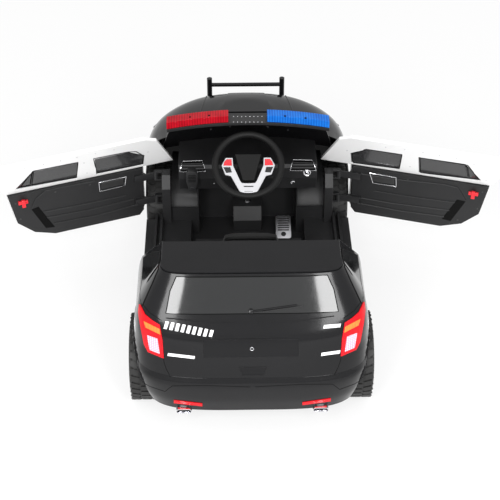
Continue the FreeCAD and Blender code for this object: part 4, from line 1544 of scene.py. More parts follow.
@dataclass
class TailPanel:
    """Seams, wiper, plate mark and plain stripes of the tailgate and quarters."""

    shop: Workshop
    gate_seam: Loop = ((163.4, 358.5), (164.2, 363.0), (166.4, 369.0), (170.4, 377.0))
    bumper_seam: Loop = ((136.5, 379.0), (150.0, 386.5), (165.0, 391.5), (172.0, 386.0), (205.0, 385.5),
                                     (250.0, 387.0))
    pillar_seam: Loop = ((141.5, 303.0), (150.0, 313.0), (161.5, 320.5))
    ridge_lines: tuple[Loop, ...] = (
        ((166.0, 318.0), (205.0, 321.6), (250.0, 322.6), (295.0, 321.2), (334.0, 316.0)),
        ((166.0, 333.0), (205.0, 337.0), (250.0, 338.0), (295.0, 336.4), (335.0, 331.0)),
    )
    plate_corners: Loop = ((203.0, 340.0), (298.5, 339.2), (299.0, 356.4), (203.5, 357.6))
    pull_corners: Loop = ((239.0, 367.4), (267.0, 367.2), (264.0, 375.0), (242.0, 375.2))
    wiper_pivot: Pair = (251.0, 311.5)
    wiper_tip: Pair = (297.0, 305.0)
    blade_ends: tuple[Pair, Pair] = ((262.0, 311.6), (304.0, 305.6))
    cap_profile: Loop = ((0.0085, -0.002), (0.009, 0.003), (0.0075, 0.0065), (0.003, 0.008))
    arm_lift: float = 0.0062
    arm_radius: float = 0.0026
    blade_lift: float = 0.003
    blade_radius: float = 0.0019
    lock_place: Pair = (252.0, 349.0)
    lock_profile: Loop = ((0.0058, -0.001), (0.0058, 0.0006), (0.005, 0.0012), (0.0042, 0.0006), (0.0036, 0.0003),
                          (0.0012, 0.0001))
    stripe_row: tuple[Pair, Pair] = ((163.5, 324.8), (214.0, 334.6))
    stripe_count: int = 9
    stripe_height_px: float = 7.6
    stripe_slant_px: float = 2.2
    stripe_share: float = 0.58
    low_bar: Loop = ((168.0, 353.0), (195.0, 356.2), (194.4, 359.0), (167.4, 355.8))
    right_bars: tuple[Loop, ...] = (
        ((324.0, 325.0), (341.0, 323.6), (340.2, 327.2), (323.2, 328.6)),
        ((321.6, 352.8), (340.4, 350.2), (339.8, 353.4), (321.0, 356.0)),
    )
    side_start: Pair = (-0.498, 0.34)
    side_step: float = 0.02
    side_count: int = 4
    side_bar: Loop = ((0.0, 0.0), (0.011, 0.0), (0.004, -0.032), (-0.007, -0.032))

    seam_radius: float = 0.0009
    ridge_lift: float = 0.0002
    ridge_radius: float = 0.0016
    mark_proud: float = 0.0003
    face_proud: float = 0.0004
    rim_radius: float = 0.0013

    def build(self) -> None:
        """Sets everything on the rear shell, bumper and window."""
        self._seams()
        self._wiper()
        self._stripes()
        self._plate_mark()

    def _seams(self) -> None:
        """Dark gaps between tailgate, quarters and bumper."""
        shop = self.shop
        skin = shop.skin("rear_shell", "rear_bumper")
        lines = [shop.line_on(skin, shop.sight, corners) for corners in
                 (self.gate_seam, self.bumper_seam, self.pillar_seam)]
        shop.twin_seams("tail_seams", lines, SEAM_AND_SHADE_BLACK, self.seam_radius)
        ridges = [shop.line_on(skin, shop.sight, corners, lift=self.ridge_lift) for corners in self.ridge_lines]
        shop.seam("tailgate_ridges", ridges, "chassis", BLACK_GLOSS, self.ridge_radius, "black_gloss")

    def _wiper(self) -> None:
        """Wiper arm, blade and pivot cap on the rear window."""
        shop = self.shop
        skin = shop.skin("rear_shell")
        cap = Form.turned("wiper_cap", self.cap_profile, *skin.hit(shop.sight, *self.wiper_pivot), 24)
        arm = shop.line_on(skin, shop.sight, (self.wiper_pivot, self.wiper_tip), lift=self.arm_lift, steps=8)
        blade = shop.line_on(skin, shop.sight, self.blade_ends, lift=self.blade_lift, steps=8)
        shop.piece("wiper_pivot_cap", cap, "chassis", "black_gloss", BLACK_GLOSS)
        shop.seam("wiper_arm", [arm], "chassis", BLACK_GLOSS, self.arm_radius, "black_gloss")
        shop.seam("wiper_blade", [blade], "chassis", BLACK_GRAIN, self.blade_radius)

    def _stripes(self) -> None:
        """Plain slanted pale stripes where the real toy is lettered."""
        shop = self.shop
        gate = shop.skin("rear_shell")
        meshes = [Form.draped("stripe", gate, shop.sight, self._stripe(k), (2, 3), self.mark_proud)
                  for k in range(self.stripe_count)]
        meshes += [Form.draped("bar", gate, shop.sight, corners, (8, 1), self.mark_proud)
                   for corners in (self.low_bar, *self.right_bars)]
        shop.piece("tailgate_stripes", Form.joined("tailgate_stripes", meshes), "chassis", "white_gloss", PALE_MARK)
        first, level = self.side_start
        marks = [Form.draped("side_bar", gate, FROM_LEFT, [(first + k * self.side_step + a, level + b)
                                                           for a, b in self.side_bar], (2, 4), self.mark_proud)
                 for k in range(self.side_count)]
        shop.both_sides("quarter_stripes", Form.joined("side_bars", marks), "white_gloss", PALE_MARK)

    def _stripe(self, k: int) -> list[Pair]:
        """The corners of one tailgate stripe, in pixels.

        Args:
            k: its number in the row.

        Returns:
            The four corners.
        """
        (first_x, first_y), (last_x, last_y) = self.stripe_row
        start, end = k / self.stripe_count, (k + self.stripe_share) / self.stripe_count
        return [(first_x + (last_x - first_x) * share + self.stripe_slant_px * (1.0 - drop),
                 first_y + (last_y - first_y) * share + self.stripe_height_px * (drop - 0.5))
                for share, drop in ((start, 0.0), (end, 0.0), (end, 1.0), (start, 1.0))]

    def _plate_mark(self) -> None:
        """The blank plate place, the pull and the lock's round escutcheon."""
        shop = self.shop
        shell = shop.skin("rear_shell")
        for word, corners in (("plate_place", self.plate_corners), ("tailgate_pull", self.pull_corners)):
            face = Form.draped(word, shell, shop.sight, corners, (16, 3), self.face_proud)
            shop.piece(word, face, "chassis", "dark_panel", DARK_PANEL)
            rim = shop.line_on(shell, shop.sight, corners, True, self.mark_proud, 12)
            shop.seam(word + "_rim", [rim], "chassis", BLACK_GLOSS, self.rim_radius, "black_gloss")
        ring = Form.turned("lock_ring", self.lock_profile, *shell.hit(shop.sight, *self.lock_place), 24)
        shop.piece("tailgate_lock", ring, "chassis", "chrome_trim", STEEL)


@dataclass
class WheelTrim:
    """Silver frame, buttons and bare pad trim of the steering wheel."""

    shop: Workshop
    tilt_deg: float = 55.0
    centre: Vector = field(default_factory=lambda: Vector((0.0, 0.103, 0.476)))
    frame_half: Loop = (
        (-0.0718, 0.0225), (-0.0497, 0.0225), (-0.0482, -0.004), (-0.0262, -0.056), (-0.021, -0.0625),
        (0.0, -0.064),
    )
    frame_outer: Loop = (
        (0.0, -0.1), (-0.018, -0.1), (-0.03, -0.088), (-0.0555, -0.039), (-0.0735, -0.0345),
        (-0.085, -0.003),
    )
    red_window: Loop = (
        (-0.069, 0.0185), (-0.0532, 0.0185), (-0.0522, -0.0038), (-0.0795, -0.003), (-0.0765, 0.009),
    )
    dark_window: Loop = ((-0.0795, -0.0085), (-0.0575, -0.0085), (-0.0525, -0.0265), (-0.0705, -0.028))
    slot: Loop = ((-0.016, -0.0722), (0.016, -0.0722), (0.0145, -0.0758), (-0.0145, -0.0758))
    slot_line: Loop = ((-0.0135, -0.0905), (0.0135, -0.0905), (0.0135, -0.0917), (-0.0135, -0.0917))
    low: float = 0.0005
    high: float = 0.0062
    button_high: float = 0.0048
    slot_high: float = 0.0022
    line_span: Pair = (-0.0008, 0.0002)
    frame_edge: float = 0.0009
    button_edge: float = 0.0007
    slot_edge: float = 0.0003
    line_edge: float = 0.0001
    button_fill: float = 0.955

    def look(self) -> LevelLook:
        """The wheel's own axes: right, up the wheel and along the column."""
        tilt = math.radians(self.tilt_deg)
        up = Vector((0.0, math.sin(tilt), math.cos(tilt)))
        return LevelLook(self.centre, RIGHTWARD, up, Vector((0.0, math.cos(tilt), -math.sin(tilt))))

    def build(self) -> None:
        """Builds the frame and sets the buttons in its windows."""
        shop, look = self.shop, self.look()
        outline = [*self.frame_half, *flipped(self.frame_half[:-1]), *flipped(self.frame_outer[1:]), *self.frame_outer]
        windows = [self.red_window, self.dark_window]
        windows += [flipped(loop) for loop in windows]
        frame = Form.plate("wheel_frame", outline, [*windows, self.slot], self.low, self.high, look, self.frame_edge)
        shop.piece("steering_frame", frame, "steering_column", "silver_paint", SILVER, ("steering_spokes",))
        for word, index, finish, slot in (("red", 0, RED_PLASTIC, "red_plastic"),
                                          ("dark", 1, BLACK_GRAIN, "black_moulding")):
            pads = [Form.plate(f"{word}_pad", self._shrunk(windows[i]), [], self.low, self.button_high, look,
                               self.button_edge) for i in (index, index + 2)]
            name = f"wheel_{word}_buttons"
            shop.piece(name, Form.joined(name, pads), "steering_column", slot, finish)
        groove = Form.plate("slot_floor", self.slot, [], self.low, self.low + self.slot_high, look, self.slot_edge)
        low, high = (self.high + step for step in self.line_span)
        line = Form.plate("frame_line", self.slot_line, [], low, high, look, self.line_edge)
        shop.piece("wheel_frame_slot", Form.joined("wheel_frame_slot", [groove, line]), "steering_column",
                   "black_moulding", SEAM_AND_SHADE_BLACK)

    def _shrunk(self, loop: Sequence[Pair]) -> list[Pair]:
        """A loop drawn in towards its middle by a small gap."""
        middle = [sum(values) / len(loop) for values in zip(*loop)]
        return [tuple(m + (value - m) * self.button_fill for m, value in zip(middle, place)) for place in loop]


@dataclass(frozen=True)
class DoorPlaces:
    """Where the fittings of one door's inner side lie, in the photograph's pixels."""

    windows: tuple[Loop, ...]
    bar: tuple[Pair, Pair]
    rail_screws: Loop
    panel_screws: Loop
    ridges: tuple[Loop, ...]
    pocket: Loop
    cup: Loop


DOOR_PLACES: dict[Side, DoorPlaces] = {
    Side.LEFT: DoorPlaces(
        windows=(
            ((20.6, 186.8), (32.4, 171.6), (34.0, 170.9), (77.8, 162.2), (76.9, 177.0)),
            ((93.5, 158.6), (128.0, 151.8), (136.2, 151.6), (143.4, 155.4), (143.1, 163.5), (96.9, 173.1)),
        ),
        bar=((32.6, 172.4), (31.0, 184.4)),
        rail_screws=((4.0, 176.0), (24.0, 168.5), (43.5, 164.5), (60.6, 160.8), (77.0, 157.4), (84.0, 163.0),
                     (87.0, 173.0), (95.4, 153.6), (114.0, 149.8), (148.0, 152.0)),
        panel_screws=((15.6, 203.7), (55.3, 192.0), (20.6, 219.3), (90.0, 184.6)),
        ridges=(
            ((31.5, 208.5), (35.8, 198.8), (45.6, 190.6), (60.7, 187.2), (95.0, 180.9)),
            ((43.4, 211.9), (91.0, 202.6), (126.0, 195.4)),
            ((47.0, 217.5), (94.0, 208.6), (134.0, 199.0)),
            ((54.2, 223.2), (97.6, 215.0), (138.0, 204.0)),
        ),
        pocket=((31.5, 209.5), (38.6, 206.6), (55.0, 226.8), (46.0, 228.0)),
        cup=((98.8, 182.2), (126.0, 176.4), (124.8, 185.0), (99.8, 191.0)),
    ),
    Side.RIGHT: DoorPlaces(
        windows=(
            ((419.8, 157.4), (467.7, 165.0), (479.1, 179.4), (420.6, 172.6)),
            ((352.6, 153.6), (366.3, 149.1), (402.1, 154.5), (399.4, 168.3), (353.3, 162.8)),
        ),
        bar=((466.6, 165.8), (468.6, 177.6)),
        rail_screws=((347.0, 150.5), (385.7, 147.2), (404.7, 149.6), (410.0, 166.6), (423.0, 152.5), (439.5, 155.6),
                     (456.8, 158.6), (474.0, 164.6), (486.0, 180.2)),
        panel_screws=((361.9, 173.5), (407.8, 179.7), (443.7, 184.4), (482.4, 192.2), (477.4, 208.7), (457.6, 220.0)),
        ridges=(
            ((356.0, 173.0), (405.9, 180.4), (443.9, 184.2), (458.0, 187.8), (465.6, 200.5)),
            ((373.4, 190.6), (415.0, 197.2), (454.7, 202.4)),
            ((358.0, 197.4), (392.9, 203.4), (449.2, 210.4)),
            ((357.0, 202.8), (400.0, 210.8), (443.9, 216.6)),
        ),
        pocket=((456.9, 199.4), (465.6, 201.5), (450.5, 221.0), (441.6, 218.8)),
        cup=((369.8, 172.6), (396.0, 177.2), (396.2, 186.2), (372.8, 182.4)),
    ),
}


@dataclass
class Doors:
    """Seals, bars, screws, ridges, pulls and stripes of both doors."""

    shop: Workshop

    stripe: Loop = ((0.1, 0.252), (0.138, 0.252), (0.128, 0.226), (0.09, 0.226))
    stripe_pitch: float = 0.052
    stripe_count: int = 6
    pull_ends: tuple[Pair, Pair] = ((0.36, 0.335), (0.43, 0.335))
    pull_reach: float = 0.008
    pull_radius: float = 0.005
    stand_off: float = 0.3
    lift: float = 0.0004
    cup_lift: float = 0.0016
    pocket_proud: float = 0.0006
    mark_proud: float = 0.0003
    seal_radius: float = 0.0016
    bar_radius: float = 0.0042
    ridge_radius: float = 0.0026
    cup_radius: float = 0.0017
    rail_screw: Pair = (0.0026, 0.0009)
    panel_screw: Pair = (0.0034, 0.0012)

    def build(self) -> None:
        """Trims both doors."""
        for side in Side:
            self._inner(side)
            self._outer(side)

    def _inner(self, side: Side) -> None:
        """What shows on the side towards the cabin.

        Args:
            side: which door.
        """
        shop, word, sight, places = self.shop, side.word, self.shop.sight, DOOR_PLACES[side]
        body = f"door_{word}"
        shell = shop.skin(f"door_shell_{word}", f"door_glass_{word}")
        seals = [shop.line_on(shell, sight, loop, True, self.lift, 6) for loop in places.windows]
        shop.seam(f"window_seals_{word}", seals, body, SEAM_AND_SHADE_BLACK, self.seal_radius)
        bar = shop.line_on(shell, sight, places.bar, lift=self.lift, steps=6)
        shop.seam(f"window_bar_{word}", [bar], body, BLACK_GLOSS, self.bar_radius, "black_gloss")
        shop.screws(f"rail_screws_{word}", shop.skin(f"door_shell_{word}"), sight, places.rail_screws, body,
                    "steel", STEEL, *self.rail_screw)
        panel = shop.skin(f"door_panel_{word}")
        shop.screws(f"panel_screws_{word}", panel, sight, places.panel_screws, body, "steel", DARK_METAL,
                    *self.panel_screw)
        ridges = [shop.line_on(panel, sight, line, lift=self.lift) for line in places.ridges]
        shop.seam(f"panel_ridges_{word}", ridges, body, BLACK_GRAIN, self.ridge_radius)
        # Painted shade: a near-black patch stands for the shade inside the door pocket.
        pocket = Form.draped("pocket", panel, sight, places.pocket, (4, 8), self.pocket_proud)
        shop.piece(f"panel_pocket_{word}", pocket, body, "black_moulding", SEAM_AND_SHADE_BLACK)
        cup = shop.line_on(panel, sight, places.cup, True, self.cup_lift, 6)
        shop.seam(f"pull_cup_{word}", [cup], body, CHROME, self.cup_radius, "chrome_trim")

    def _outer(self, side: Side) -> None:
        """Pull handle and plain stripes on the side away from the cabin.

        Args:
            side: which door.
        """
        shop, word, look = self.shop, side.word, self._outer_look(side)
        skin = shop.skin(f"door_shell_{word}")
        stripes = [Form.draped("stripe", skin, look, [(a + k * self.stripe_pitch, b) for a, b in self.stripe], (4, 3),
                               self.mark_proud) for k in range(self.stripe_count)]
        shop.piece(f"door_stripes_{word}", Form.joined("stripes", stripes), f"door_{word}", "black_moulding", SEAM_AND_SHADE_BLACK)
        lines = [shop.line_on(skin, look, self.pull_ends, lift=self.pull_reach, steps=8)]
        for end in self.pull_ends:
            foot, normal = skin.hit(look, *end)
            lines.append(Form.path("pull_end", [foot - normal * 0.001, foot + normal * self.pull_reach]))
        shop.seam(f"door_pull_{word}", lines, f"door_{word}", BLACK_GLOSS, self.pull_radius, "black_gloss")

    def _outer_look(self, side: Side) -> LevelLook:
        """A look at the open door's outer face, from its hinge along it.

        Args:
            side: which door.

        Returns:
            The look.
        """
        joint = next(j for j in self.shop.frame.data["joints"] if j["name"] == f"door_{side.word}_swing")
        pivot = Vector(joint["pos_m"])
        swings = joint["range_deg"]
        open_turn = Matrix.Rotation(-math.radians(swings[1] if side is Side.LEFT else swings[0]), 3, "Z")
        away = open_turn @ side.outward
        return LevelLook(Vector((pivot.x, pivot.y, 0.0)) + away * self.stand_off, open_turn @ BACKWARD, UPWARD, -away)


@dataclass
class LightBar:
    """Rivets, lamp dots and screws of the light bar."""

    shop: Workshop
    lens_rivets: Loop = ((190.0, 117.0), (209.0, 115.5), (285.0, 116.0), (305.5, 118.0))
    dot_rows: tuple[float, float] = (116.5, 122.0)
    dot_span: Pair = (233.5, 262.0)
    dots_per_row: int = 8
    foot_screws: Loop = ((211.0, 129.5), (230.0, 127.0), (268.0, 127.0), (288.0, 130.0))
    rivet: Pair = (0.0042, 0.0014)
    screw: Pair = (0.0024, 0.0008)

    def build(self) -> None:
        """Sets the fittings on the lenses and the base."""
        shop = self.shop
        lenses = shop.skin("light_lens_red", "light_lens_blue")
        shop.screws("light_bar_rivets", lenses, shop.sight, self.lens_rivets, "chassis", "black_moulding",
                    SEAM_AND_SHADE_BLACK, *self.rivet)
        first, last = self.dot_span
        places = [(first + (last - first) * k / (self.dots_per_row - 1), row)
                  for row in self.dot_rows for k in range(self.dots_per_row)]
        shop.screws("light_bar_dots", shop.skin("light_bar_base"), shop.sight, places, "chassis", "steel", STEEL,
                    *self.screw)
        shop.screws("light_bar_screws", shop.skin("light_bar_base", "windscreen_panel"), shop.sight,
                    self.foot_screws, "chassis", "steel", STEEL, *self.screw)


@dataclass
class Cabin:
    """Vents, key switch, microphone, pedal and hand bar of the cabin."""

    shop: Workshop
    vent_loop: Loop = ((179.4, 171.6), (183.0, 161.4), (202.4, 160.6), (205.6, 171.2))
    key_place: Pair = (307.0, 172.4)
    switch_place: Pair = (292.6, 181.8)
    dash_marks: Loop = ((214.0, 183.5), (214.2, 192.0), (224.5, 193.5), (272.0, 193.6), (276.0, 194.4))
    slider_bars: tuple[Loop, ...] = (
        ((278.0, 189.2), (283.4, 189.2), (283.4, 191.4), (278.0, 191.4)),
        ((268.0, 176.0), (273.4, 176.0), (273.4, 178.0), (268.0, 178.0)),
    )
    louvre_shares: Triple = (0.28, 0.52, 0.76)
    switch_profile: Loop = ((0.0125, -0.002), (0.0125, 0.003), (0.0108, 0.0046), (0.0088, 0.003), (0.008, 0.0022),
                            (0.0052, 0.0022), (0.0048, 0.0075), (0.003, 0.0085))
    power_scale: float = 0.62
    knob: Pair = (0.0024, 0.0016)
    trim_radius: float = 0.0011
    trim_lift: float = 0.0004
    foot_radius: float = 0.0021
    foot_lift: float = 0.0008
    inside_proud: float = 0.0003
    louvre_radius: float = 0.0013
    louvre_lift: float = 0.0012
    louvre_gap_px: float = 1.0
    slider_proud: float = 0.0012
    mic_x: float = -0.182
    mic_half: float = 0.0215
    mic_span: Pair = (0.34, 0.42)
    mic_depth: Pair = (-0.1815, -0.15)
    mic_edge: float = 0.0025
    mic_head_share: float = 0.92
    mic_waist_share: float = 0.62
    mic_slot: Pair = (0.0022, 0.0008)
    mic_slot_count: int = 5
    mic_slot_start: float = 0.04
    mic_slot_step: float = 0.006
    mic_clip: Triple = (0.011, 0.003, 0.002)
    mic_clip_height: float = 0.014
    mic_head_deg: tuple[int, int] = (-20, 22)
    pedal_middle: Vector = field(default_factory=lambda: Vector((0.122, 0.222, 0.137)))
    pedal_half: Pair = (0.026, 0.044)
    pedal_corner: float = 0.006
    pedal_edge: float = 0.001
    pedal_span: Pair = (-0.002, 0.0025)
    pedal_tilt_deg: float = 28.0
    rib_count: int = 6
    rib_start: float = -0.012
    rib_step: float = 0.0085
    rib_size: Pair = (0.0036, 0.0022)
    pad_profile: Loop = ((0.0085, -0.001), (0.0085, 0.001), (0.007, 0.0018), (0.002, 0.002))
    wedge_reach: Pair = (-0.037, 0.036)
    wedge_levels: Triple = (0.1125, 0.151, 0.116)
    bar_height: float = 0.49
    bar_y: float = -0.29
    bar_radius: float = 0.0105

    def build(self) -> None:
        """Fits the cabin."""
        self._vents()
        self._switches()
        self._microphone()
        self._pedal()
        self._hand_bar()

    def _vents(self) -> None:
        """Framed air vents with louvres, their insides filled with a near-black patch of painted shade."""
        shop, sight, loop = self.shop, self.shop.sight, self.vent_loop
        board = shop.skin("dashboard")
        frame = shop.line_on(board, sight, loop, True, self.trim_lift, 8)
        shop.twin_seams("vent_frames", [frame], CHROME, self.trim_radius, "chrome_trim")
        foot = shop.line_on(board, sight, (loop[0], loop[3]), lift=self.foot_lift, steps=8)
        shop.twin_seams("vent_foot_trims", [foot], CHROME, self.foot_radius, "chrome_trim")
        # Painted shade: a near-black patch stands for the shade inside each vent.
        vent_shade = Form.draped("vent_inside", board, sight, loop, (6, 6), self.inside_proud)
        shop.both_sides("vent_insides", vent_shade, "dark_panel", SEAM_AND_SHADE_BLACK)
        louvres = []
        for share in self.louvre_shares:
            ends = shop.drawn_in(Form.along((loop[1], loop[0]), share), Form.along((loop[2], loop[3]), share),
                                 self.louvre_gap_px)
            louvres.append(shop.line_on(board, sight, ends, lift=self.louvre_lift, steps=6))
        shop.twin_seams("vent_louvres", louvres, BLACK_GRAIN, self.louvre_radius)

    def _switches(self) -> None:
        """Key ring, power switch, small knobs and sliders."""
        shop = self.shop
        board, dash = shop.skin("dashboard"), shop.skin("dashboard", "column_shroud", "windscreen_panel")
        for name, place, scale in (("key_switch", self.key_place, 1.0),
                                   ("power_switch", self.switch_place, self.power_scale)):
            profile = [(radius * scale, height * scale) for radius, height in self.switch_profile]
            knob = Form.turned(name, profile, *board.hit(shop.sight, *place))
            shop.piece(name, knob, "chassis", "chrome_trim", CHROME)
        shop.screws("dash_knobs", dash, shop.sight, self.dash_marks, "chassis", "chrome_trim", STEEL, *self.knob)
        bars = [Form.draped("slider", dash, shop.sight, corners, (2, 2), self.slider_proud)
                for corners in self.slider_bars]
        shop.piece("dash_sliders", Form.joined("dash_sliders", bars), "chassis", "chrome_trim", DARK_METAL)

    def _microphone(self) -> None:
        """Hand microphone with speaking slots drawn as near-black bars of painted shade, and a bright clip."""
        shop, (foot, top), wide = self.shop, self.mic_span, self.mic_half
        back, front = self.mic_depth
        look = LevelLook(Vector((self.mic_x, 0, 0)), RIGHTWARD, UPWARD, FORWARD)
        head, waist = wide * self.mic_head_share, wide * self.mic_waist_share
        first_deg, step_deg = self.mic_head_deg
        turns = [math.radians(first_deg + step_deg * k) for k in range(6)]
        right_half = [(waist * 0.5, foot), (waist * 0.85, foot + 0.004), (waist, foot + 0.014),
                      (wide * 0.9, top - 0.042)]
        right_half += [(head * math.cos(turn), top - head + head * math.sin(turn)) for turn in turns]
        body = Form.plate("microphone", right_half + flipped(right_half[:-1]), [], back, front, look, self.mic_edge)
        shop.piece("hand_microphone", body, "chassis", "black_moulding", BLACK_GRAIN)
        count = self.mic_slot_count
        places = [Vector((self.mic_x, -front - 0.0001, foot + self.mic_slot_start + k * self.mic_slot_step))
                  for k in range(count)]
        # Painted shade: near-black bars stand for the shade in the speaking slots.
        slots = shop.bars(places, [BACKWARD] * count, [RIGHTWARD] * count, SEAM_AND_SHADE_BLACK, (wide * 1.2, *self.mic_slot))
        shop.piece("microphone_slots", slots, "chassis", "black_moulding", SEAM_AND_SHADE_BLACK)
        place = Vector((self.mic_x, -front - 0.0004, foot + self.mic_clip_height))
        clip = shop.bars([place], [BACKWARD], [RIGHTWARD], CHROME, self.mic_clip)
        shop.piece("microphone_clip", clip, "chassis", "chrome_trim", CHROME)

    def _pedal(self) -> None:
        """Ribbed bright pedal plate on its wedge, with a round pad."""
        shop, tilt, middle = self.shop, math.radians(self.pedal_tilt_deg), self.pedal_middle
        up, facing = Vector((0, math.cos(tilt), math.sin(tilt))), Vector((0, -math.sin(tilt), math.cos(tilt)))
        (wide, tall), cut = self.pedal_half, self.pedal_corner
        right = [(wide - cut, -tall), (wide, -tall + cut), (wide, tall - cut), (wide - cut, tall)]
        plate = Form.plate("pedal_plate", [(-wide + cut, -tall), *right, *flipped(right[1:])], [], *self.pedal_span,
                           LevelLook(middle, RIGHTWARD, up, -facing), self.pedal_edge)
        shop.piece("foot_pedal", plate, "chassis", "chrome_trim", STEEL)
        count = self.rib_count
        places = [middle + up * (self.rib_start + k * self.rib_step) + facing * 0.003 for k in range(count)]
        ribs = shop.bars(places, [facing] * count, [RIGHTWARD] * count, BLACK_GRAIN, (wide * 1.5, *self.rib_size))
        shop.piece("pedal_ribs", ribs, "chassis", "black_moulding", BLACK_GRAIN)
        pad = Form.turned("pedal_pad", self.pad_profile, middle - up * 0.027 + facing * 0.0024, facing, 24)
        shop.piece("pedal_round_pad", pad, "chassis", "black_moulding", BLACK_GRAIN)
        near, far = (middle.y + reach for reach in self.wedge_reach)
        foot, high, low = self.wedge_levels
        wedge = Form.plate("pedal_wedge", ((near, foot), (far, foot), (far, high), (near, low)), [], -wide * 0.8,
                           wide * 0.8, LevelLook(Vector((middle.x, 0, 0)), FORWARD, UPWARD, LEFTWARD), self.pedal_edge)
        shop.piece("pedal_wedge", wedge, "chassis", "black_moulding", BLACK_GRAIN)

    def _hand_bar(self) -> None:
        """The arched bar over the backrest."""
        top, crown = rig.box("seat")[1][2], self.bar_height
        arch = [(-0.082, top - 0.012), (-0.08, top + 0.006), (-0.07, crown - 0.004), (-0.05, crown),
                (0.0, crown + 0.001)]
        line = Form.path("hand_bar_line", [Vector((a, self.bar_y, b)) for a, b in arch + flipped(arch[:-1])])
        self.shop.seam("backrest_hand_bar", [line], "chassis", GRIP, self.bar_radius)


@dataclass
class Wheels:
    """Treaded tyres, spoked wheel covers, bolts and plain caps."""

    shop: Workshop
    radius: float = 0.132
    groove: float = 0.003
    half_width: float = 0.048
    side_insets: Loop = ((0.0885, 0.004), (0.097, 0.0), (0.11, 0.0), (0.121, 0.0025))
    crown_insets: Loop = ((0.001, 0.01), (0.0, 0.014))
    lug_count: int = 34
    lug_rows: Loop = ((-0.031, 0.0), (0.0, 0.5), (0.031, 0.0))
    lug_size: Pair = (0.026, 0.017)
    lug_root: float = 0.002
    lug_sink: float = 0.0004
    lug_slant: float = 0.32
    cover_radius: float = 0.0865
    cover_inner: float = 0.03
    cover_rim: float = 0.0745
    cover_thickness: float = 0.005
    cover_edge: float = 0.0012
    spoke_count: int = 5
    spoke_half_deg: float = 9.0
    spoke_flare_deg: float = 7.0
    cap_profile: Loop = ((0.0135, -0.001), (0.0135, 0.0004), (0.0115, 0.0012), (0.004, 0.0016))
    cap_sink: float = 0.0006
    bolt_ring: float = 0.0215
    bolt: Pair = (0.003, 0.0012)

    def build(self) -> None:
        """Fits every wheel, each on its own body."""
        for end in ("front", "rear"):
            for side in Side:
                word = f"{end}_{side.word}"
                self._tyre(word)
                self._cover(word, side)

    def _tyre(self, word: str) -> None:
        """A hollow blown tyre with two rows of shoulder lugs and a middle row.

        Args:
            word: the wheel, as the nodes spell it.
        """
        shop = self.shop
        middle = shop.frame.middle(f"tyre_{word}")
        foot, wide = self.radius - self.groove, self.half_width
        half = [(radius, wide - inset) for radius, inset in self.side_insets]
        half += [(foot - drop, wide - inset) for drop, inset in self.crown_insets]
        profile = [(radius, -across) for radius, across in half] + [*reversed(half), (half[0][0], 0.0)]
        meshes = [Form.turned("tyre_body", profile, middle, RIGHTWARD, 96, True)]
        length, width = self.lug_size
        deep = self.groove + self.lug_root
        for offset, shift in self.lug_rows:
            turns = [math.tau * (k + shift) / self.lug_count for k in range(self.lug_count)]
            ways = [Vector((0, math.cos(turn), math.sin(turn))) for turn in turns]
            places = [middle + RIGHTWARD * offset + way * (self.radius - deep / 2 - self.lug_sink) for way in ways]
            slant = 0.0 if offset == 0.0 else math.copysign(self.lug_slant, offset)
            runs = [(RIGHTWARD + way.cross(RIGHTWARD) * slant).normalized() for way in ways]
            meshes.append(shop.bars(places, ways, runs, TYRE, (length, width, deep)))
        shop.piece(f"tyre_tread_{word}", Form.joined("tyre", meshes), f"wheel_{word}", "tyre_black", TYRE,
                   (f"tyre_{word}",))

    def _cover(self, word: str, side: Side) -> None:
        """A silver cover with five spokes, its bolts and a plain cap.

        Args:
            word: the wheel, as the nodes spell it.
            side: the car's side it is on.
        """
        shop, out, body = self.shop, side.outward, f"wheel_{word}"
        low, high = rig.box(f"hub_{word}")
        middle = shop.frame.middle(f"hub_{word}")
        face = max(abs(low[0]), abs(high[0]))
        look = LevelLook(Vector((0.0, middle.y, middle.z)), Vector((0, -out.x, 0)), UPWARD, -out)
        step = 360.0 / self.spoke_count
        windows = []
        for k in range(self.spoke_count):
            start = 90.0 + step * k + self.spoke_half_deg
            end = 90.0 + step * k + step - self.spoke_half_deg
            inner = self._arc(self.cover_inner, start + self.spoke_flare_deg, end - self.spoke_flare_deg, 5)
            windows.append(self._arc(self.cover_rim, start, end, 10) + inner[::-1])
        rim = self._arc(self.cover_radius, 0.0, 360.0, 60)
        cover = Form.plate("wheel_cover", rim, windows, face - self.cover_thickness, face, look, self.cover_edge)
        shop.piece(f"wheel_cover_{word}", cover, body, "silver_paint", SILVER)
        seat = Vector((out.x * (face - self.cap_sink), middle.y, middle.z))
        cap = Form.turned("wheel_cap", self.cap_profile, seat, out, 28)
        shop.piece(f"wheel_cap_{word}", cap, body, "silver_paint", STEEL)
        turns = [math.tau * k / self.spoke_count + math.pi / 2 for k in range(self.spoke_count)]
        places = [Vector((out.x * face, middle.y + self.bolt_ring * math.cos(turn),
                          middle.z + self.bolt_ring * math.sin(turn))) for turn in turns]
        shop.heads_at(f"wheel_bolts_{word}", places, [out] * len(places), body, "steel", STEEL, *self.bolt)

    @staticmethod
    def _arc(radius: float, start_deg: float, end_deg: float, steps: int) -> list[Pair]:
        """Points of an arc; a full turn leaves out its last point.

        Args:
            radius: the arc's radius.
            start_deg: where it starts.
            end_deg: where it ends.
            steps: runs between its points.

        Returns:
            The points.
        """
        full = abs(end_deg - start_deg) >= 360.0
        turns = [math.radians(start_deg + (end_deg - start_deg) * k / steps) for k in range(steps + (not full))]
        return [(radius * math.cos(turn), radius * math.sin(turn)) for turn in turns]


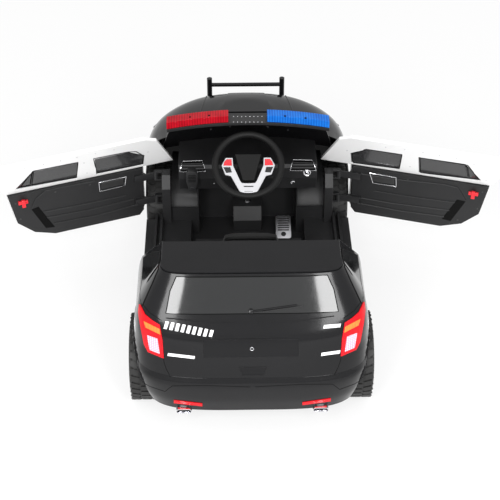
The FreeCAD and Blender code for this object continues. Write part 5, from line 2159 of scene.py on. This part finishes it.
@dataclass
class FrontEnd:
    """Front lamps, grille, intake, hood panel and wheel arch rims."""

    shop: Workshop
    lamp_outline: Loop = ((0.186, 0.358), (0.318, 0.374), (0.318, 0.322), (0.186, 0.306))
    grille_outline: Loop = ((-0.177, 0.354), (0.177, 0.354), (0.168, 0.298), (-0.168, 0.298))
    intake_outline: Loop = ((-0.166, 0.156), (0.166, 0.156), (0.15, 0.114), (-0.15, 0.114))
    fog_place: Pair = (0.243, 0.15)
    fog_radius: float = 0.021
    ridge_x: float = 0.158
    ridge_toe_in: float = 0.022
    ridge_radius: float = 0.0024
    hood_span: Pair = (0.405, 0.545)
    hood_halves: Pair = (0.082, 0.062)
    arch_radius: float = 0.152
    arch_step_deg: int = 6
    lens_proud: float = 0.003
    back_proud: float = 0.0008
    panel_proud: float = 0.0028
    rim_lift: float = 0.0012
    slat_lift: float = 0.0022
    slat_gap: float = 0.006
    lamp_rim: float = 0.0022
    slat_radius: float = 0.003
    grille_rim: float = 0.0024
    arch_rim: float = 0.0038

    def build(self) -> None:
        """Fits the front shell and the arches."""
        self._lamps()
        self._grille("front_grille", self.grille_outline, 5)
        self._grille("front_intake", self.intake_outline, 4)
        self._hood()
        self._arches()

    def _lamps(self) -> None:
        """Head lamps with dark rims and round fog lamps."""
        shop, reach = self.shop, self.fog_radius
        skin = shop.skin("front_shell")
        lamp = Form.draped("head_lamp", skin, FROM_FRONT, self.lamp_outline, (16, 8), self.lens_proud)
        shop.both_sides("head_lamps", lamp, "silver_paint", CLEAR_LENS)
        rim = shop.line_on(skin, FROM_FRONT, self.lamp_outline, True, self.rim_lift)
        shop.twin_seams("head_lamp_rims", [rim], SEAM_AND_SHADE_BLACK, self.lamp_rim)
        seat = skin.hit(FROM_FRONT, *self.fog_place)
        lens = ((reach, -0.004), (reach, 0.002), (reach * 0.8, 0.0045), (reach * 0.4, 0.0062), (0.001, 0.0066))
        bezel = ((reach, -0.004), (reach + 0.005, -0.003), (reach + 0.004, 0.0035), (reach, 0.0045))
        shop.both_sides("fog_lamps", Form.turned("fog_lens", lens, *seat), "silver_paint", CLEAR_LENS)
        shop.both_sides("fog_bezels", Form.turned("fog_bezel", bezel, *seat, ring=True), "black_gloss", BLACK_GLOSS)

    def _grille(self, name: str, outline: Loop, rows: int) -> None:
        """An opening given painted shade by a near-black patch, with level slats and a bright rim.

        Args:
            name: how its pieces' names start.
            outline: its corners from the front.
            rows: slats and one.
        """
        shop = self.shop
        skin = shop.skin("front_shell")
        # Painted shade: a near-black patch stands for the shade in the opening.
        back = Form.draped(name, skin, FROM_FRONT, outline, (24, 4), self.back_proud)
        shop.piece(name + "_back", back, "chassis", "dark_panel", SEAM_AND_SHADE_BLACK)
        slats = []
        for k in range(1, rows):
            ends = shop.drawn_in(Form.along((outline[0], outline[3]), k / rows),
                                 Form.along((outline[1], outline[2]), k / rows), self.slat_gap)
            slats.append(shop.line_on(skin, FROM_FRONT, ends, lift=self.slat_lift, steps=24))
        shop.seam(name + "_slats", slats, "chassis", BLACK_GLOSS, self.slat_radius, "black_gloss")
        rim = shop.line_on(skin, FROM_FRONT, outline, True, self.rim_lift, 16)
        shop.seam(name + "_rim", [rim], "chassis", SILVER, self.grille_rim, "silver_paint")

    def _hood(self) -> None:
        """The raised panel and ridges on the hood."""
        shop, (near, far), (wide, narrow) = self.shop, self.hood_span, self.hood_halves
        skin = shop.skin("front_shell")
        corners = ((-wide, near), (wide, near), (narrow, far), (-narrow, far))
        panel = Form.draped("hood_panel", skin, FROM_ABOVE, corners, (10, 10), self.panel_proud)
        shop.piece("hood_panel", panel, "chassis", "black_gloss", BLACK_GLOSS)
        ends = ((self.ridge_x, near), (self.ridge_x - self.ridge_toe_in, far))
        right = shop.line_on(skin, FROM_ABOVE, ends, steps=12)
        shop.twin_seams("hood_ridges", [right], BLACK_GLOSS, self.ridge_radius, "black_gloss")

    def _arches(self) -> None:
        """Flanged rims round the four wheel openings."""
        shop = self.shop
        lines = []
        for end, nodes, first in (("front", ("front_shell",), 20), ("rear", ("rear_shell", "rear_bumper"), 12)):
            middle = shop.frame.middle(f"tyre_{end}_left")
            turns = [math.radians(turn) for turn in range(first, 181 - first, self.arch_step_deg)]
            corners = [(middle.y + self.arch_radius * math.cos(turn), middle.z + self.arch_radius * math.sin(turn))
                       for turn in turns]
            lines.append(shop.line_on(shop.skin(*nodes), FROM_LEFT, corners, steps=1))
        shop.twin_seams("wheel_arch_rims", lines, BLACK_GLOSS, self.arch_rim, "black_gloss")


def write_sizes(before: Sequence, after: Sequence) -> None:
    """Writes the frame's box and the dressed car's box."""
    with open(SIZE_FILE, "w", encoding="utf-8") as out:
        json.dump([[list(corner) for corner in before], [list(corner) for corner in after]], out)


def main() -> None:
    """Builds the car's looks in order."""
    logging.basicConfig(level=logging.INFO, format="%(name)s %(message)s")
    frame = Frame()
    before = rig.bounds()
    shop = Workshop(frame)
    Studio(shop.sight).build()
    for assembly in (Bodywork, TailGlass, TailLamps, TailPanel, WheelTrim, Doors, LightBar, Cabin, Wheels, FrontEnd):
        assembly(shop).build()
        LOG.info("%s done", assembly.__name__)
    write_sizes(before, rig.bounds())
    LOG.info("%d pieces", len(shop.made))


if __name__ == "__main__":
    main()
